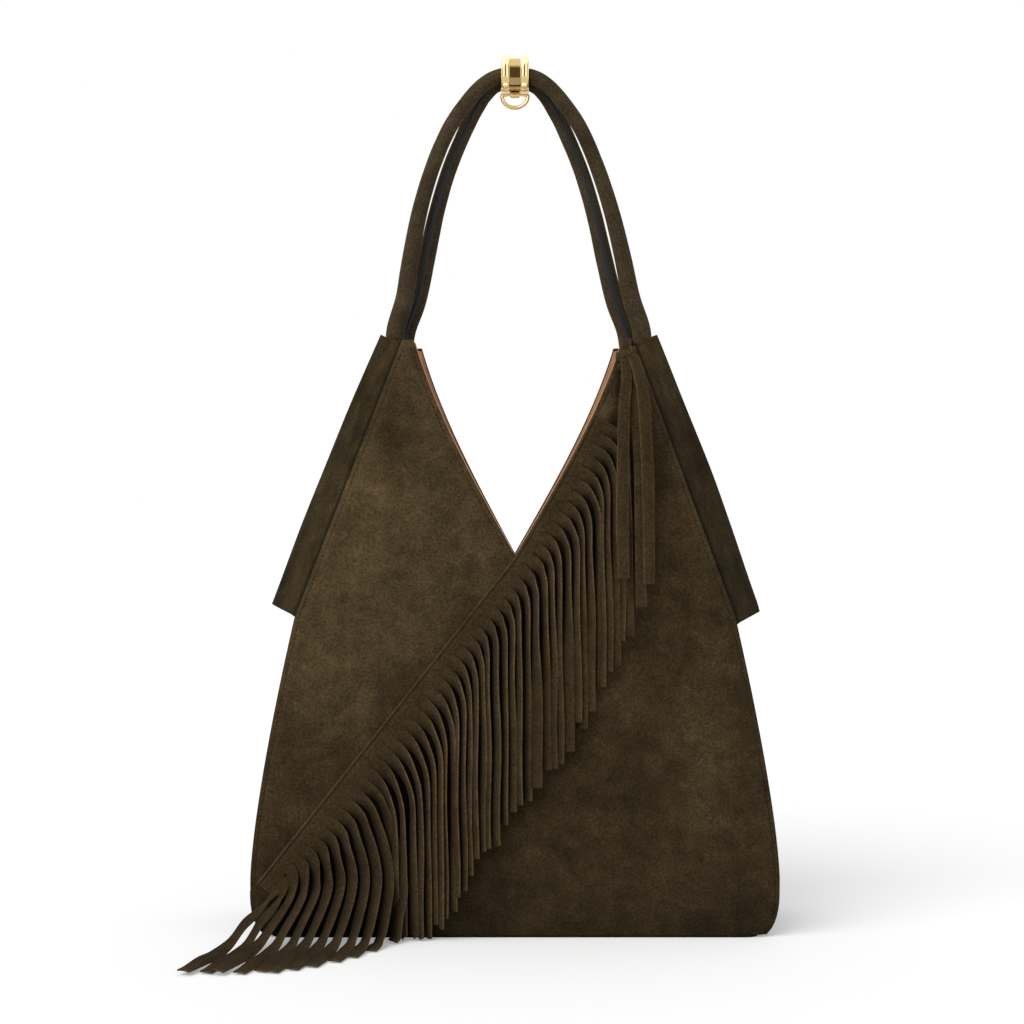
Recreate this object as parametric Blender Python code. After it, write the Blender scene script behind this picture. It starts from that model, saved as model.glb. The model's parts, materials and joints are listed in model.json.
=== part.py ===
"""Fringed suede bag with a V neck, two rolled handles and a gold handle keeper.

Metres, +Z up, front towards -Y. The origin is the middle of the base on the floor.
"""
import math
import random

import bmesh
import bpy
from mathutils import Vector

# Body
BODY_H = 0.4305
NOTCH_H = 0.229
BODY_W = 0.380
SHOULDER_W = 0.318
PEAK_LEFT = 0.082
PEAK_RIGHT = 0.086
CORNER_RX = 0.0135
CORNER_RZ = 0.030
BASE_D = 0.104
BELLY_D = 0.116
TOP_D = 0.078
BELLY = 0.006
EDGE_ROLL = 0.0025
ROLL_W = 0.009

# Neck opening and the diagonal seam
NECK_TIP_H = 0.274
NECK_LEFT = 0.0735
NECK_RIGHT = 0.0780
BACK_NECK_SHARE = 0.965
SEAM_END_H = 0.034
SEAM_OVERLAP = 0.0115
SEAM_LIFT = 0.0022

# Materials
SUEDE_T = 0.0014
LINING_T = 0.0010
LINING_INSET = 0.0055
LINING_EASE = 0.0006
BASE_T = 0.0016
GAP = 0.0003

# Wings, where the side panels fold outwards
WING_LOW = 0.0235
WING_TOP_LEFT = 0.0175
WING_TOP_RIGHT = 0.0195
WING_BOW = 0.0020
CREASE_LIFT_LOW = 0.007
CREASE_LIFT_TOP = 0.010
SIDE_HOLLOW = 0.011
SIDE_INSET = 0.0012

# Fringe
FRINGE_TOP_H = 0.3755
STRIP_PITCH = 0.0090
STRIP_SLIT = 0.0004
BAND_W = 0.0095
STRIP_L = 0.163
STRIP_STAND = 0.0062
STRIP_FALL = 0.058
STRIP_STEPS = (0.004, 0.010, 0.018, 0.027, 0.037, 0.048, 0.062, 0.080, 0.098, 0.114, 0.130, 0.146)
FRINGE_EASE = 0.0010
EDGE_ON = math.radians(18)
FACING_NECK = math.radians(55)
FACING_MID = math.radians(30)
FACING_FLOOR = math.radians(58)
DRAPE_FROM_H = 0.157
DRAPE_FORWARD = 0.094
DRAPE_LEFT = 0.052
DRAPE_BEGIN = 0.085
DRAPE_RUN = 0.050
DRAPE_FACE = Vector((0, -0.98, 0.20))

# Handles
HANDLE_R = 0.0055
HANDLE_FOOT_R = 0.0070
RIDGE_H = 0.0010
HANDLE_RISE = 0.1985
BACK_SAG = 0.0024
APEX_Y = 0.0075
FOOT_Y = 0.0088
FOOT_DEPTH = 0.020
FRONT_FOOT_LEFT = 0.0850
FRONT_FOOT_RIGHT = 0.0904
BACK_FOOT_LEFT = 0.0805
BACK_FOOT_RIGHT = 0.0825
FRONT_APEX_H = BODY_H + HANDLE_RISE
BACK_APEX_H = FRONT_APEX_H - BACK_SAG

# Keeper and its ring
KEEPER_W = 0.0206
KEEPER_CROWN = 0.0136
KEEPER_WALL = 0.0017
RIB_H = 0.0011
KNUCKLE_R = 0.0024
KNUCKLE_W = 0.0072
PIN_R = 0.0010
RING_R = 0.0015
RING_HALF = 0.0095
RING_DROP = 0.0096

SUEDE = (0.052, 0.034, 0.017, 1)
SUEDE_DARK = (0.036, 0.024, 0.013, 1)
TAN = (0.48, 0.20, 0.075, 1)
GOLD = (0.85, 0.62, 0.26, 1)


def clear_scene():
    for obj in list(bpy.data.objects):
        bpy.data.objects.remove(obj, do_unlink=True)


def material(name, colour, roughness, metallic=0.0):
    mat = bpy.data.materials.new(name)
    mat.use_nodes = True
    shader = mat.node_tree.nodes["Principled BSDF"]
    shader.inputs["Base Color"].default_value = colour
    shader.inputs["Roughness"].default_value = roughness
    shader.inputs["Metallic"].default_value = metallic
    return mat


def clamp(v, low=0.0, high=1.0):
    return max(low, min(high, v))


def smooth(v):
    v = clamp(v)
    return v * v * (3 - 2 * v)


def lerp(a, b, t):
    return a + (b - a) * t


def add_object(name, verts, faces, mat, sharp=35):
    mesh = bpy.data.meshes.new(name)
    mesh.from_pydata([tuple(v) for v in verts], [], faces)
    bm = bmesh.new()
    bm.from_mesh(mesh)
    bmesh.ops.recalc_face_normals(bm, faces=bm.faces)
    bm.to_mesh(mesh)
    bm.free()
    mesh.shade_smooth()
    mesh.set_sharp_from_angle(angle=math.radians(sharp))
    obj = bpy.data.objects.new(name, mesh)
    bpy.context.collection.objects.link(obj)
    obj.data.materials.append(mat)
    return obj


def add_shell(name, outer, inner, faces, mat):
    """A closed sheet between two matching sets of points, with a rim round every free edge."""
    count = len(outer)
    used = {}
    for face in faces:
        for a, b in zip(face, face[1:] + face[:1]):
            used[(a, b)] = used.get((a, b), 0) + 1
    rim = [(a, b) for a, b in used if (b, a) not in used]
    closed = list(faces)
    closed += [tuple(i + count for i in reversed(face)) for face in faces]
    closed += [(b, a, a + count, b + count) for a, b in rim]
    return add_object(name, list(outer) + list(inner), closed, mat)


def weld_grids(grids):
    """Points and faces of several (x, z) grids that share edges."""
    points, index, faces = [], {}, []

    def find(p):
        key = (round(p[0], 6), round(p[1], 6))
        if key not in index:
            index[key] = len(points)
            points.append(p)
        return index[key]

    for grid in grids:
        for low, high in zip(grid, grid[1:]):
            for i in range(len(low) - 1):
                face = []
                for p in (low[i], low[i + 1], high[i + 1], high[i]):
                    k = find(p)
                    if k not in face:
                        face.append(k)
                if len(face) > 2:
                    faces.append(tuple(face))
    return points, faces


# Body shape
def half_width(z, x):
    peak = PEAK_LEFT if x < 0 else PEAK_RIGHT
    if z >= NOTCH_H:
        return lerp(SHOULDER_W / 2, peak, (z - NOTCH_H) / (BODY_H - NOTCH_H))
    bend = CORNER_RZ * 1.4
    width = BODY_W / 2
    if z > bend:
        width -= (BODY_W - SHOULDER_W) / 2 * ((z - bend) / (NOTCH_H - bend)) ** 1.35
    if z < CORNER_RZ:
        width -= CORNER_RX * (1 - math.sqrt(1 - (1 - z / CORNER_RZ) ** 2))
    return width


def half_depth(x, z):
    h = clamp(z / BODY_H)
    if h < 0.19:
        depth = lerp(BASE_D / 2, BELLY_D / 2, math.sin(h / 0.19 * math.pi / 2))
    else:
        depth = lerp(BELLY_D / 2, TOP_D / 2, ((h - 0.19) / 0.81) ** 1.2)
    width = half_width(z, x)
    across = clamp(abs(x) / width)
    depth += BELLY * (1 - across * across) * 4 * h * (1 - h)
    return depth - EDGE_ROLL * (1 - smooth((width - abs(x)) / ROLL_W))


def neck(z, side):
    """How far the neck edge on one side is from the middle."""
    t = clamp((z - NECK_TIP_H) / (BODY_H - NECK_TIP_H))
    return (NECK_LEFT if side < 0 else NECK_RIGHT) * (1.19 * t - 0.19 * t ** 3)


def seam_x(z):
    low = -BODY_W / 2
    return low * (NECK_TIP_H - z) / (NECK_TIP_H - SEAM_END_H)


def seam_lift(x, z):
    """How far the right front panel stands proud where it laps over the left one."""
    run = BODY_W / 2
    rise = NECK_TIP_H - SEAM_END_H
    distance = (x - seam_x(z)) * rise / math.hypot(run, rise)
    above = smooth((NECK_TIP_H + 0.008 - z) / 0.012)
    return SEAM_LIFT * (1 - smooth((distance - SEAM_OVERLAP) / 0.010)) * above


def levels(low, high, through, step):
    """Heights from low to high that pass through the given ones, about a step apart."""
    marks = [low] + [m for m in sorted(through) if low + 0.002 < m < high - 0.002] + [high]
    out = [low]
    for a, b in zip(marks, marks[1:]):
        n = max(1, round((b - a) / step))
        out += [lerp(a, b, (i + 1) / n) for i in range(n)]
    return out


def spaced(a, b, shares):
    return [lerp(a, b, s) for s in shares]


WALL_LOW = BASE_T + GAP
EDGE_SHARES = (0, 0.025, 0.055, 0.14, 0.32, 0.55, 0.78, 0.92, 1)
LOBE_SHARES = (0, 0.025, 0.055, 0.14, 0.35, 0.6, 0.82, 1)
LAP_SHARES = (0, 0.012, 0.028, 0.055, 0.09, 0.14, 0.24, 0.42, 0.62, 0.82, 0.94, 0.975, 1)


def build_front_left(mat):
    rows = []
    for z in levels(SEAM_END_H - 0.006, BODY_H, (NECK_TIP_H - 0.012, NECK_TIP_H, NOTCH_H), 0.011):
        if z > NECK_TIP_H:
            edge = -neck(z, -1)
        else:
            edge = seam_x(z) + SEAM_OVERLAP * clamp((NECK_TIP_H - z) / 0.012)
        rows.append([(x, z) for x in spaced(-half_width(z, -1), edge, EDGE_SHARES)])
    points, faces = weld_grids([rows])
    outer = [(x, -half_depth(x, z), z) for x, z in points]
    inner = [(x, -half_depth(x, z) + SUEDE_T, z) for x, z in points]
    return add_shell("front_left_panel", outer, inner, faces, mat)


def build_front_right(mat):
    rows = []
    for z in levels(WALL_LOW, BODY_H, (SEAM_END_H, NECK_TIP_H, NOTCH_H), 0.011):
        edge = neck(z, 1) if z > NECK_TIP_H else max(seam_x(z), -half_width(z, -1))
        rows.append([(x, z) for x in spaced(edge, half_width(z, 1), LAP_SHARES)])
    points, faces = weld_grids([rows])
    outer = [(x, -half_depth(x, z) - seam_lift(x, z), z) for x, z in points]
    inner = [(x, y + SUEDE_T, z) for x, y, z in outer]
    return add_shell("front_right_panel", outer, inner, faces, mat)


def two_lobes(low, high, side_inset, neck_share, neck_shift):
    """Left and right grids that meet at x = 0 below the neck's tip."""
    grids = []
    for side in (-1, 1):
        rows = []
        for z in levels(low, high, (NECK_TIP_H, NOTCH_H), 0.020):
            edge = side * (half_width(z, side) - side_inset)
            middle = 0.0
            if z > NECK_TIP_H + 0.001:
                middle = side * max(neck(z, side) * neck_share + neck_shift, 0.0002)
            rows.append([(x, z) for x in spaced(edge, middle, LOBE_SHARES)])
        if side == 1:
            rows = [list(reversed(row)) for row in rows]
        grids.append(rows)
    return grids


def build_back(mat):
    points, faces = weld_grids(two_lobes(WALL_LOW, BODY_H, 0, BACK_NECK_SHARE, 0))
    outer = [(x, half_depth(x, z), z) for x, z in points]
    inner = [(x, half_depth(x, z) - SUEDE_T, z) for x, z in points]
    return add_shell("back_panel", outer, inner, faces, mat)


def build_lining(name, side, neck_share, neck_shift, mat):
    top = BODY_H - 0.003
    points, faces = weld_grids(two_lobes(WALL_LOW + 0.002, top, LINING_INSET, neck_share, neck_shift))
    skin = SUEDE_T + GAP + LINING_EASE
    outer = [(x, side * (half_depth(x, z) - skin), z) for x, z in points]
    inner = [(x, side * (half_depth(x, z) - skin - LINING_T), z) for x, z in points]
    return add_shell(name, outer, inner, faces, mat)


def build_base(mat):
    half_x = half_width(0.0, 1) - 0.001
    half_y = half_depth(0.0, 0.0) - 0.0005
    radius = 0.010
    ring = []
    for cx, cy, start in ((1, -1, -90), (1, 1, 0), (-1, 1, 90), (-1, -1, 180)):
        for k in range(5):
            a = math.radians(start + 22.5 * k)
            x = cx * (half_x - radius) + radius * math.cos(a)
            ring.append((x, cy * (half_y - radius) + radius * math.sin(a)))
    count = len(ring)
    verts = [(x, y, 0.0) for x, y in ring] + [(x, y, BASE_T) for x, y in ring]
    faces = [tuple(range(count)), tuple(range(count, 2 * count))]
    faces += [(i, (i + 1) % count, (i + 1) % count + count, i + count) for i in range(count)]
    return add_object("base_panel", verts, faces, mat)


def build_side(name, side, wing_top, mat):
    """One side panel: hollowed below the notch, folded outwards as a wing above it."""
    rows = []
    for z in levels(WALL_LOW, NOTCH_H - 0.001, (SEAM_END_H,), 0.020):
        rows.append((z, -SIDE_HOLLOW * smooth(z / 0.12), 0.0, False))
    top = BODY_H - 0.0035
    for z in levels(NOTCH_H + 0.002, top, (), 0.025):
        t = (z - NOTCH_H) / (BODY_H - NOTCH_H)
        reach = lerp(WING_LOW, wing_top, t) + WING_BOW * 4 * t * (1 - t)
        rows.append((z, reach, lerp(CREASE_LIFT_LOW, CREASE_LIFT_TOP, t), True))
    outer, limits = [], []
    shares = (-1, -0.85, -0.6, -0.3, -0.06, 0.06, 0.3, 0.6, 0.85, 1)
    for z, reach, lift, folded in rows:
        edge = half_width(z, side) - SIDE_INSET
        limit = half_depth(side * half_width(z, side), z) - SUEDE_T - GAP
        for share in shares:
            fold = 1 - abs(share) if folded else 1 - share * share
            outer.append(Vector((side * (edge + reach * fold), limit * share, z + lift * fold)))
            limits.append(limit)
    across = len(shares)
    faces = []
    for r in range(len(rows) - 1):
        for i in range(across - 1):
            a = r * across + i
            faces.append((a, a + 1, a + across + 1, a + across))
    normals = [Vector() for _ in outer]
    for face in faces:
        a, b, c, d = (outer[i] for i in face)
        normal = (c - a).cross(d - b)
        normal.normalize()
        for i in face:
            normals[i] += normal
    inner = []
    for point, normal, limit in zip(outer, normals, limits):
        normal.normalize()
        if normal.x * side < 0:
            normal = -normal
        shifted = point - normal * SUEDE_T
        shifted.y = clamp(shifted.y, -limit, limit)
        shifted.z = max(shifted.z, WALL_LOW)
        inner.append(shifted)
    return add_shell(name, outer, inner, faces, mat)


# Fringe
def seam_stations(pitch):
    """Points a pitch apart down the right neck edge and then down the diagonal seam."""
    path = []
    for z in levels(NECK_TIP_H, FRINGE_TOP_H, (), 0.004)[::-1]:
        path.append(Vector((neck(z, 1), 0, z)))
    steps = 60
    low = SEAM_END_H + 0.004
    for i in range(1, steps + 1):
        z = lerp(NECK_TIP_H, low, i / steps)
        path.append(Vector((seam_x(z), 0, z)))
    lengths = [0.0]
    for a, b in zip(path, path[1:]):
        lengths.append(lengths[-1] + (b - a).length)
    count = int(lengths[-1] / pitch)

    def at(s):
        s = clamp(s, 0.0, lengths[-1] - 1e-6)
        k = next(i for i in range(1, len(lengths)) if lengths[i] > s)
        return path[k - 1].lerp(path[k], (s - lengths[k - 1]) / (lengths[k] - lengths[k - 1]))

    def heading(s):
        ahead = at(s + 0.008) - at(s - 0.008)
        return ahead.normalized()

    return at, heading, count


def on_front(x, z, off):
    return -(half_depth(x, z) + seam_lift(x, z) + FRINGE_EASE + off)


def spare_length(height):
    """Share of the longest lying stretch that a strip starting at this height has."""
    return clamp((DRAPE_FROM_H - height) / (DRAPE_FROM_H - SEAM_END_H))


def drape_target(start, fall):
    """Where the end of a strip that is too long to hang comes to lie: forward and to the left."""
    spare = spare_length(start.z)
    x = start.x + 0.41 * fall - DRAPE_LEFT * smooth((spare - 0.2) / 0.8)
    y = -BELLY_D / 2 - STRIP_STAND - DRAPE_FORWARD * smooth(spare * 1.15)
    return Vector((x, y, 0.0))


def facing_width(ahead):
    """Width direction of a draped strip: its face stays turned up and forward."""
    normal = DRAPE_FACE - ahead * DRAPE_FACE.dot(ahead)
    wide = normal.cross(ahead).normalized()
    return wide if wide.x > 0 else -wide


def strip_trail(start, perp, length):
    """Points every 2 mm down the middle of a strip, each with its travel and how far it is draped."""
    down = Vector((0, 0, -1))
    fall = min(STRIP_FALL, start.z * 0.95)
    spare = spare_length(start.z)
    begin = DRAPE_BEGIN * (1 - spare) if spare > 0 else length
    target = drape_target(start, fall)
    point = start.copy()
    move = perp.copy()
    trail = [(point.copy(), 0.0, 0.0)]
    travelled = 0.0
    while travelled < length - 1e-9:
        step = min(0.002, length - travelled)
        travelled += step
        turn = smooth(travelled / fall)
        hang = (perp * (1 - turn) + down * turn).normalized()
        draped = smooth((travelled - begin) / DRAPE_RUN)
        away = target - point
        if draped > 0 and away.length > 0.012:
            move = (hang * (1 - draped) + away.normalized() * draped).normalized()
        elif draped == 0:
            move = hang
        point = point + move * step
        stand = SUEDE_T / 2 + STRIP_STAND * smooth(travelled / 0.028)
        lying = abs(facing_width(move).z) * STRIP_PITCH / 2 + SUEDE_T / 2 + 0.0006
        point.z = max(point.z, lerp(SUEDE_T, lying, draped))
        front = on_front(point.x, point.z, stand)
        point.y = front if draped == 0 else min(point.y, front)
        trail.append((point.copy(), travelled, draped))
    return trail


def strip_turn(travelled, share):
    """How far a strip has turned from edge-on towards facing the front."""
    low = lerp(FACING_NECK, FACING_MID, smooth((share - 0.22) / 0.18))
    low = lerp(low, FACING_FLOOR, smooth((share - 0.62) / 0.2))
    return lerp(EDGE_ON, low, smooth((travelled - 0.045) / 0.065))


def strip_sections(start, across, length, share):
    """Centre, width direction and face direction along one strip, from the band to its end."""
    perp = Vector((-across.z, 0, across.x))
    if perp.x < 0:
        perp = -perp
    trail = strip_trail(start, perp, length)
    last = len(trail) - 1
    out = []
    for travel in STRIP_STEPS + (length,):
        k = min(round(travel / 0.002), last)
        centre, travelled, draped = trail[k]
        ahead = (trail[min(k + 1, last)][0] - trail[max(k - 1, 0)][0]).normalized()
        turn = strip_turn(travelled, share)
        wide = across.lerp(Vector((math.sin(turn), -math.cos(turn), 0)), smooth((travelled - 0.002) / 0.034))
        wide = wide.lerp(facing_width(ahead), draped)
        wide = (wide - ahead * wide.dot(ahead)).normalized()
        out.append((centre, wide, ahead.cross(wide).normalized()))
    return out


def build_fringe(mat):
    rng = random.Random(11)
    at, heading, count = seam_stations(STRIP_PITCH)
    verts, faces = [], []
    half_t = SUEDE_T / 2

    def station(s):
        p = at(s)
        tau = heading(s)
        side = Vector((-tau.z, 0, tau.x))
        if side.x < 0:
            side = -side
        top = p + side * 0.0008
        low = p + side * (0.0008 + BAND_W)
        first = len(verts)
        for q in (top, low):
            verts.append(Vector((q.x, on_front(q.x, q.z, SUEDE_T), q.z)))
            verts.append(Vector((q.x, on_front(q.x, q.z, 0), q.z)))
        return first, tau

    previous = None
    for i in range(count):
        a, tau = station(i * STRIP_PITCH + STRIP_SLIT / 2)
        b, tau_b = station((i + 1) * STRIP_PITCH - STRIP_SLIT / 2)
        pairs = [(a, b, False)]
        if previous is None:
            faces.append((a, a + 1, a + 3, a + 2))
        else:
            pairs.append((previous, a, True))
        for p, q, slit in pairs:
            faces.append((p, p + 2, q + 2, q))
            faces.append((p + 1, q + 1, q + 3, p + 3))
            faces.append((p, q, q + 1, p + 1))
            if slit:
                faces.append((p + 2, p + 3, q + 3, q + 2))
        previous = b

        share = i / (count - 1)
        across = -(tau + tau_b).normalized()
        start = (verts[a + 2] + verts[a + 3] + verts[b + 2] + verts[b + 3]) / 4
        width = (verts[a + 2] - verts[b + 2]).length / 2
        length = STRIP_L + rng.uniform(-0.005, 0.003)
        ring = (a + 2, b + 2, b + 3, a + 3)
        for centre, wide, face in strip_sections(start, across, length, share):
            first = len(verts)
            for u, v in ((1, 1), (-1, 1), (-1, -1), (1, -1)):
                corner = centre + wide * (u * width) + face * (v * half_t)
                corner.z = max(corner.z, 0.0004 if v > 0 else 0.0008)
                verts.append(corner)
            new = (first, first + 1, first + 2, first + 3)
            for k in range(4):
                faces.append((ring[k], ring[(k + 1) % 4], new[(k + 1) % 4], new[k]))
            ring = new
        faces.append(ring)
    faces.append((previous, previous + 1, previous + 3, previous + 2))
    return add_object("fringe", verts, faces, mat, sharp=60)


# Handles
def spline(points, steps):
    """Smooth path through the given points."""
    ends = [points[0] * 2 - points[1]] + points + [points[-1] * 2 - points[-2]]
    out = []
    for i in range(1, len(ends) - 2):
        p0, p1, p2, p3 = ends[i - 1:i + 3]
        for k in range(steps):
            t = k / steps
            out.append(0.5 * (2 * p1 + (p2 - p0) * t + (2 * p0 - 5 * p1 + 4 * p2 - p3) * t * t
                              + (3 * p1 - p0 - 3 * p2 + p3) * t ** 3))
    out.append(points[-1])
    return out


def sweep_tube(path, frame_side, section):
    """Rings of a tube, each from section(share) as (side, up) offsets."""
    rings = []
    for i, p in enumerate(path):
        ahead = (path[min(i + 1, len(path) - 1)] - path[max(i - 1, 0)]).normalized()
        side = (frame_side - ahead * frame_side.dot(ahead)).normalized()
        up = ahead.cross(side)
        rings.append([p + side * a + up * b for a, b in section(i / (len(path) - 1))])
    return rings


def skin(rings, closed=False):
    verts = [v for ring in rings for v in ring]
    n = len(rings[0])
    faces = []
    last = len(rings) if closed else len(rings) - 1
    for r in range(last):
        base, nxt = r * n, (r + 1) % len(rings) * n
        for k in range(n):
            faces.append((base + k, base + (k + 1) % n, nxt + (k + 1) % n, nxt + k))
    if not closed:
        faces.append(tuple(range(n)))
        faces.append(tuple(range((len(rings) - 1) * n, len(rings) * n)))
    return verts, faces


def build_handle(name, apex_h, shape, foot_left, foot_right, inward, mat):
    """A rolled handle; its sewn edge stands as a ridge on the side that faces the other handle."""
    rise = apex_h - BODY_H
    sides = []
    for foot, sign in ((foot_left, -1), (foot_right, 1)):
        points = [Vector((sign * foot, -inward * FOOT_Y, BODY_H - FOOT_DEPTH))]
        for up, out in shape:
            x = lerp(foot, (foot_left + foot_right) / 2, smooth(up * 1.4)) * out
            y = lerp(FOOT_Y, APEX_Y, smooth(up))
            points.append(Vector((sign * x, -inward * y, BODY_H + rise * up)))
        points.append(Vector((sign * KEEPER_W * 0.56, -inward * APEX_Y, apex_h - 0.0007)))
        sides.append(points)
    points = sides[0] + [Vector((0, -inward * APEX_Y, apex_h))] + sides[1][::-1]
    path = spline(points, 2)
    ridge = math.radians(13)

    def section(share):
        near_foot = smooth((abs(share - 0.5) - 0.22) / 0.24)
        r = lerp(HANDLE_R, HANDLE_FOOT_R, near_foot)
        crest = r + RIDGE_H
        ring = [(inward * crest * math.cos(a), crest * math.sin(a)) for a in (-ridge * 0.8, ridge * 0.8)]
        for k in range(10):
            a = lerp(ridge * 1.4, 2 * math.pi - ridge * 1.4, k / 9)
            ring.append((inward * r * math.cos(a), r * math.sin(a)))
        return ring

    verts, faces = skin(sweep_tube(path, Vector((0, 1, 0)), section))
    return add_object(name, verts, faces, mat, sharp=50)


# Keeper
def loop_point(a, half_y, low, high, power=4.5):
    """A rounded rectangle about the X axis, in Y and Z."""
    c, s = math.cos(a), math.sin(a)
    y = half_y * math.copysign(abs(c) ** (2 / power), c)
    z = (low + high) / 2 + (high - low) / 2 * math.copysign(abs(s) ** (2 / power), s)
    return y, z


def build_keeper(mat):
    open_y = APEX_Y + HANDLE_R + 2 * GAP
    open_low = BACK_APEX_H - HANDLE_R - 4 * GAP
    open_high = FRONT_APEX_H + HANDLE_R + 2 * GAP
    stations = ((-0.5, -0.5), (-0.46, 0.6), (-0.36, 1.0), (-0.27, 0.6), (-0.23, -0.3),
                (0.23, -0.3), (0.27, 0.6), (0.36, 1.0), (0.46, 0.6), (0.5, -0.5))
    count = 28
    outer, inner = [], []
    for share, grow in stations:
        x = KEEPER_W * share
        g = RIB_H * grow
        ring_out, ring_in = [], []
        for k in range(count):
            a = 2 * math.pi * (k + 0.5) / count
            low = open_low - KEEPER_WALL - g * 0.15
            y, z = loop_point(a, open_y + KEEPER_WALL + g, low, FRONT_APEX_H + KEEPER_CROWN + g, 3.4)
            ring_out.append(Vector((x, y, z)))
            y, z = loop_point(a, open_y, open_low, open_high, 5)
            ring_in.append(Vector((x, y, z)))
        outer.append(ring_out)
        inner.append(ring_in)
    rings = outer + inner[::-1]
    verts, faces = skin(rings, closed=True)
    keeper = add_object("keeper", verts, faces, mat, sharp=32)

    axis_h = open_low - KEEPER_WALL - RING_R - 2 * GAP
    knuckle = cylinder("knuckle_tool", KNUCKLE_R, KNUCKLE_W, axis_h, 20)
    bore = cylinder("bore_tool", PIN_R + GAP, KNUCKLE_W * 3, axis_h, 16)
    for tool, operation in ((knuckle, "UNION"), (bore, "DIFFERENCE")):
        cut = keeper.modifiers.new(operation.lower(), "BOOLEAN")
        cut.operation = operation
        cut.solver = "EXACT"
        cut.object = tool
        tool.hide_render = True
        tool.display_type = "WIRE"
    return axis_h


def cylinder(name, radius, width, height, sides):
    mesh = bpy.data.meshes.new(name)
    bm = bmesh.new()
    bmesh.ops.create_cone(bm, cap_ends=True, segments=sides, radius1=radius, radius2=radius, depth=width)
    for v in bm.verts:
        v.co = Vector((v.co.z, v.co.y, -v.co.x + height))
    bmesh.ops.recalc_face_normals(bm, faces=bm.faces)
    bm.to_mesh(mesh)
    bm.free()
    obj = bpy.data.objects.new(name, mesh)
    bpy.context.collection.objects.link(obj)
    return obj


def build_ring(axis_h, mat):
    """A D-ring whose straight pin runs along X through the keeper's knuckle."""
    pin = KNUCKLE_W / 2 + 0.0010
    points = [(-pin, 0.0), (-pin * 0.33, 0.0), (pin * 0.33, 0.0), (pin, 0.0)]
    centre_z = -(RING_DROP - RING_HALF)
    for k in range(17):
        a = math.radians(28 - 236 * k / 16)
        x = RING_HALF * math.cos(a)
        z = centre_z - 0.001 + (RING_HALF - 0.001) * math.sin(a)
        points.append((x, min(z, -0.0004)))
    path = [Vector((x, 0, z)) for x, z in points]
    rings = []
    count = len(path)
    for i, p in enumerate(path):
        ahead = (path[(i + 1) % count] - path[i - 1]).normalized()
        side = Vector((0, 1, 0))
        up = ahead.cross(side)
        r = PIN_R if i < 4 else lerp(PIN_R * 1.1, RING_R, smooth((min(i - 4, count - 1 - i)) / 3))
        rings.append([p + side * r * math.cos(t) + up * r * math.sin(t)
                      for t in (2 * math.pi * k / 10 for k in range(10))])
    verts, faces = skin(rings, closed=True)
    ring = add_object("keeper_ring", verts, faces, mat, sharp=60)
    ring.location = (0, 0, axis_h)
    return ring


# Tie
def ribbon_rings(points, widths, thickness, frame_side):
    path = spline([Vector(p) for p in points], 3)

    def section(share):
        k = share * (len(widths) - 1)
        i = min(int(k), len(widths) - 2)
        w = lerp(widths[i], widths[i + 1], k - i) / 2
        t = thickness / 2
        return ((w, t), (-w, t), (-w, -t), (w, -t))

    return sweep_tube(path, frame_side, section)


def build_tie(mat):
    """A suede thong knotted over the right peak, with three tails in front."""
    peak_x = (NECK_RIGHT + PEAK_RIGHT) / 2 + 0.003
    front = -half_depth(peak_x, BODY_H - 0.012)

    def hang(x, drop, off):
        z = BODY_H - drop
        return (x, -half_depth(clamp(x, 0, half_width(z, 1)), z) - off, z)

    over = BODY_H + 0.0014
    tails = {
        "tail_left": ([(peak_x, front + 0.016, over - 0.002), (peak_x, front - 0.001, over + 0.0005),
                       (peak_x - 0.001, front - 0.006, over - 0.009), hang(0.081, 0.043, 0.0165),
                       hang(0.0770, 0.098, 0.0175), hang(0.0770, 0.172, 0.0180)],
                      (0.006, 0.009, 0.0075, 0.0085, 0.009, 0.008)),
        "tail_middle": ([(peak_x + 0.002, front - 0.0052, over - 0.014), hang(0.088, 0.048, 0.0140),
                         hang(0.0892, 0.098, 0.0143), hang(0.0895, 0.192, 0.0146)],
                        (0.006, 0.0075, 0.008, 0.0075)),
        "tail_right": ([(peak_x - 0.001, front - 0.0052, over - 0.010), (peak_x + 0.007, front - 0.008, over - 0.008),
                        hang(0.0950, 0.030, 0.0155), hang(0.0960, 0.088, 0.0178), hang(0.0950, 0.176, 0.0182)],
                       (0.007, 0.0075, 0.009, 0.009, 0.008)),
    }
    objects = []
    for name, (points, widths) in tails.items():
        verts, faces = skin(ribbon_rings(points, widths, 0.0018, Vector((1, 0.12, 0))))
        objects.append(add_object(name, verts, faces, mat, sharp=60))
    mesh = bpy.data.meshes.new("knot")
    bm = bmesh.new()
    bmesh.ops.create_icosphere(bm, subdivisions=2, radius=1.0)
    for v in bm.verts:
        x, y, z = v.co
        v.co = Vector((peak_x + 0.0055 * x, front - 0.0050 + 0.0042 * y, over - 0.010 + 0.0068 * z))
    bm.to_mesh(mesh)
    bm.free()
    knot = bpy.data.objects.new("tie", mesh)
    bpy.context.collection.objects.link(knot)
    knot.data.materials.append(mat)
    for tool in objects:
        join = knot.modifiers.new(tool.name, "BOOLEAN")
        join.operation = "UNION"
        join.solver = "EXACT"
        join.object = tool
        tool.hide_render = True
        tool.display_type = "WIRE"
    return knot


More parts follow.
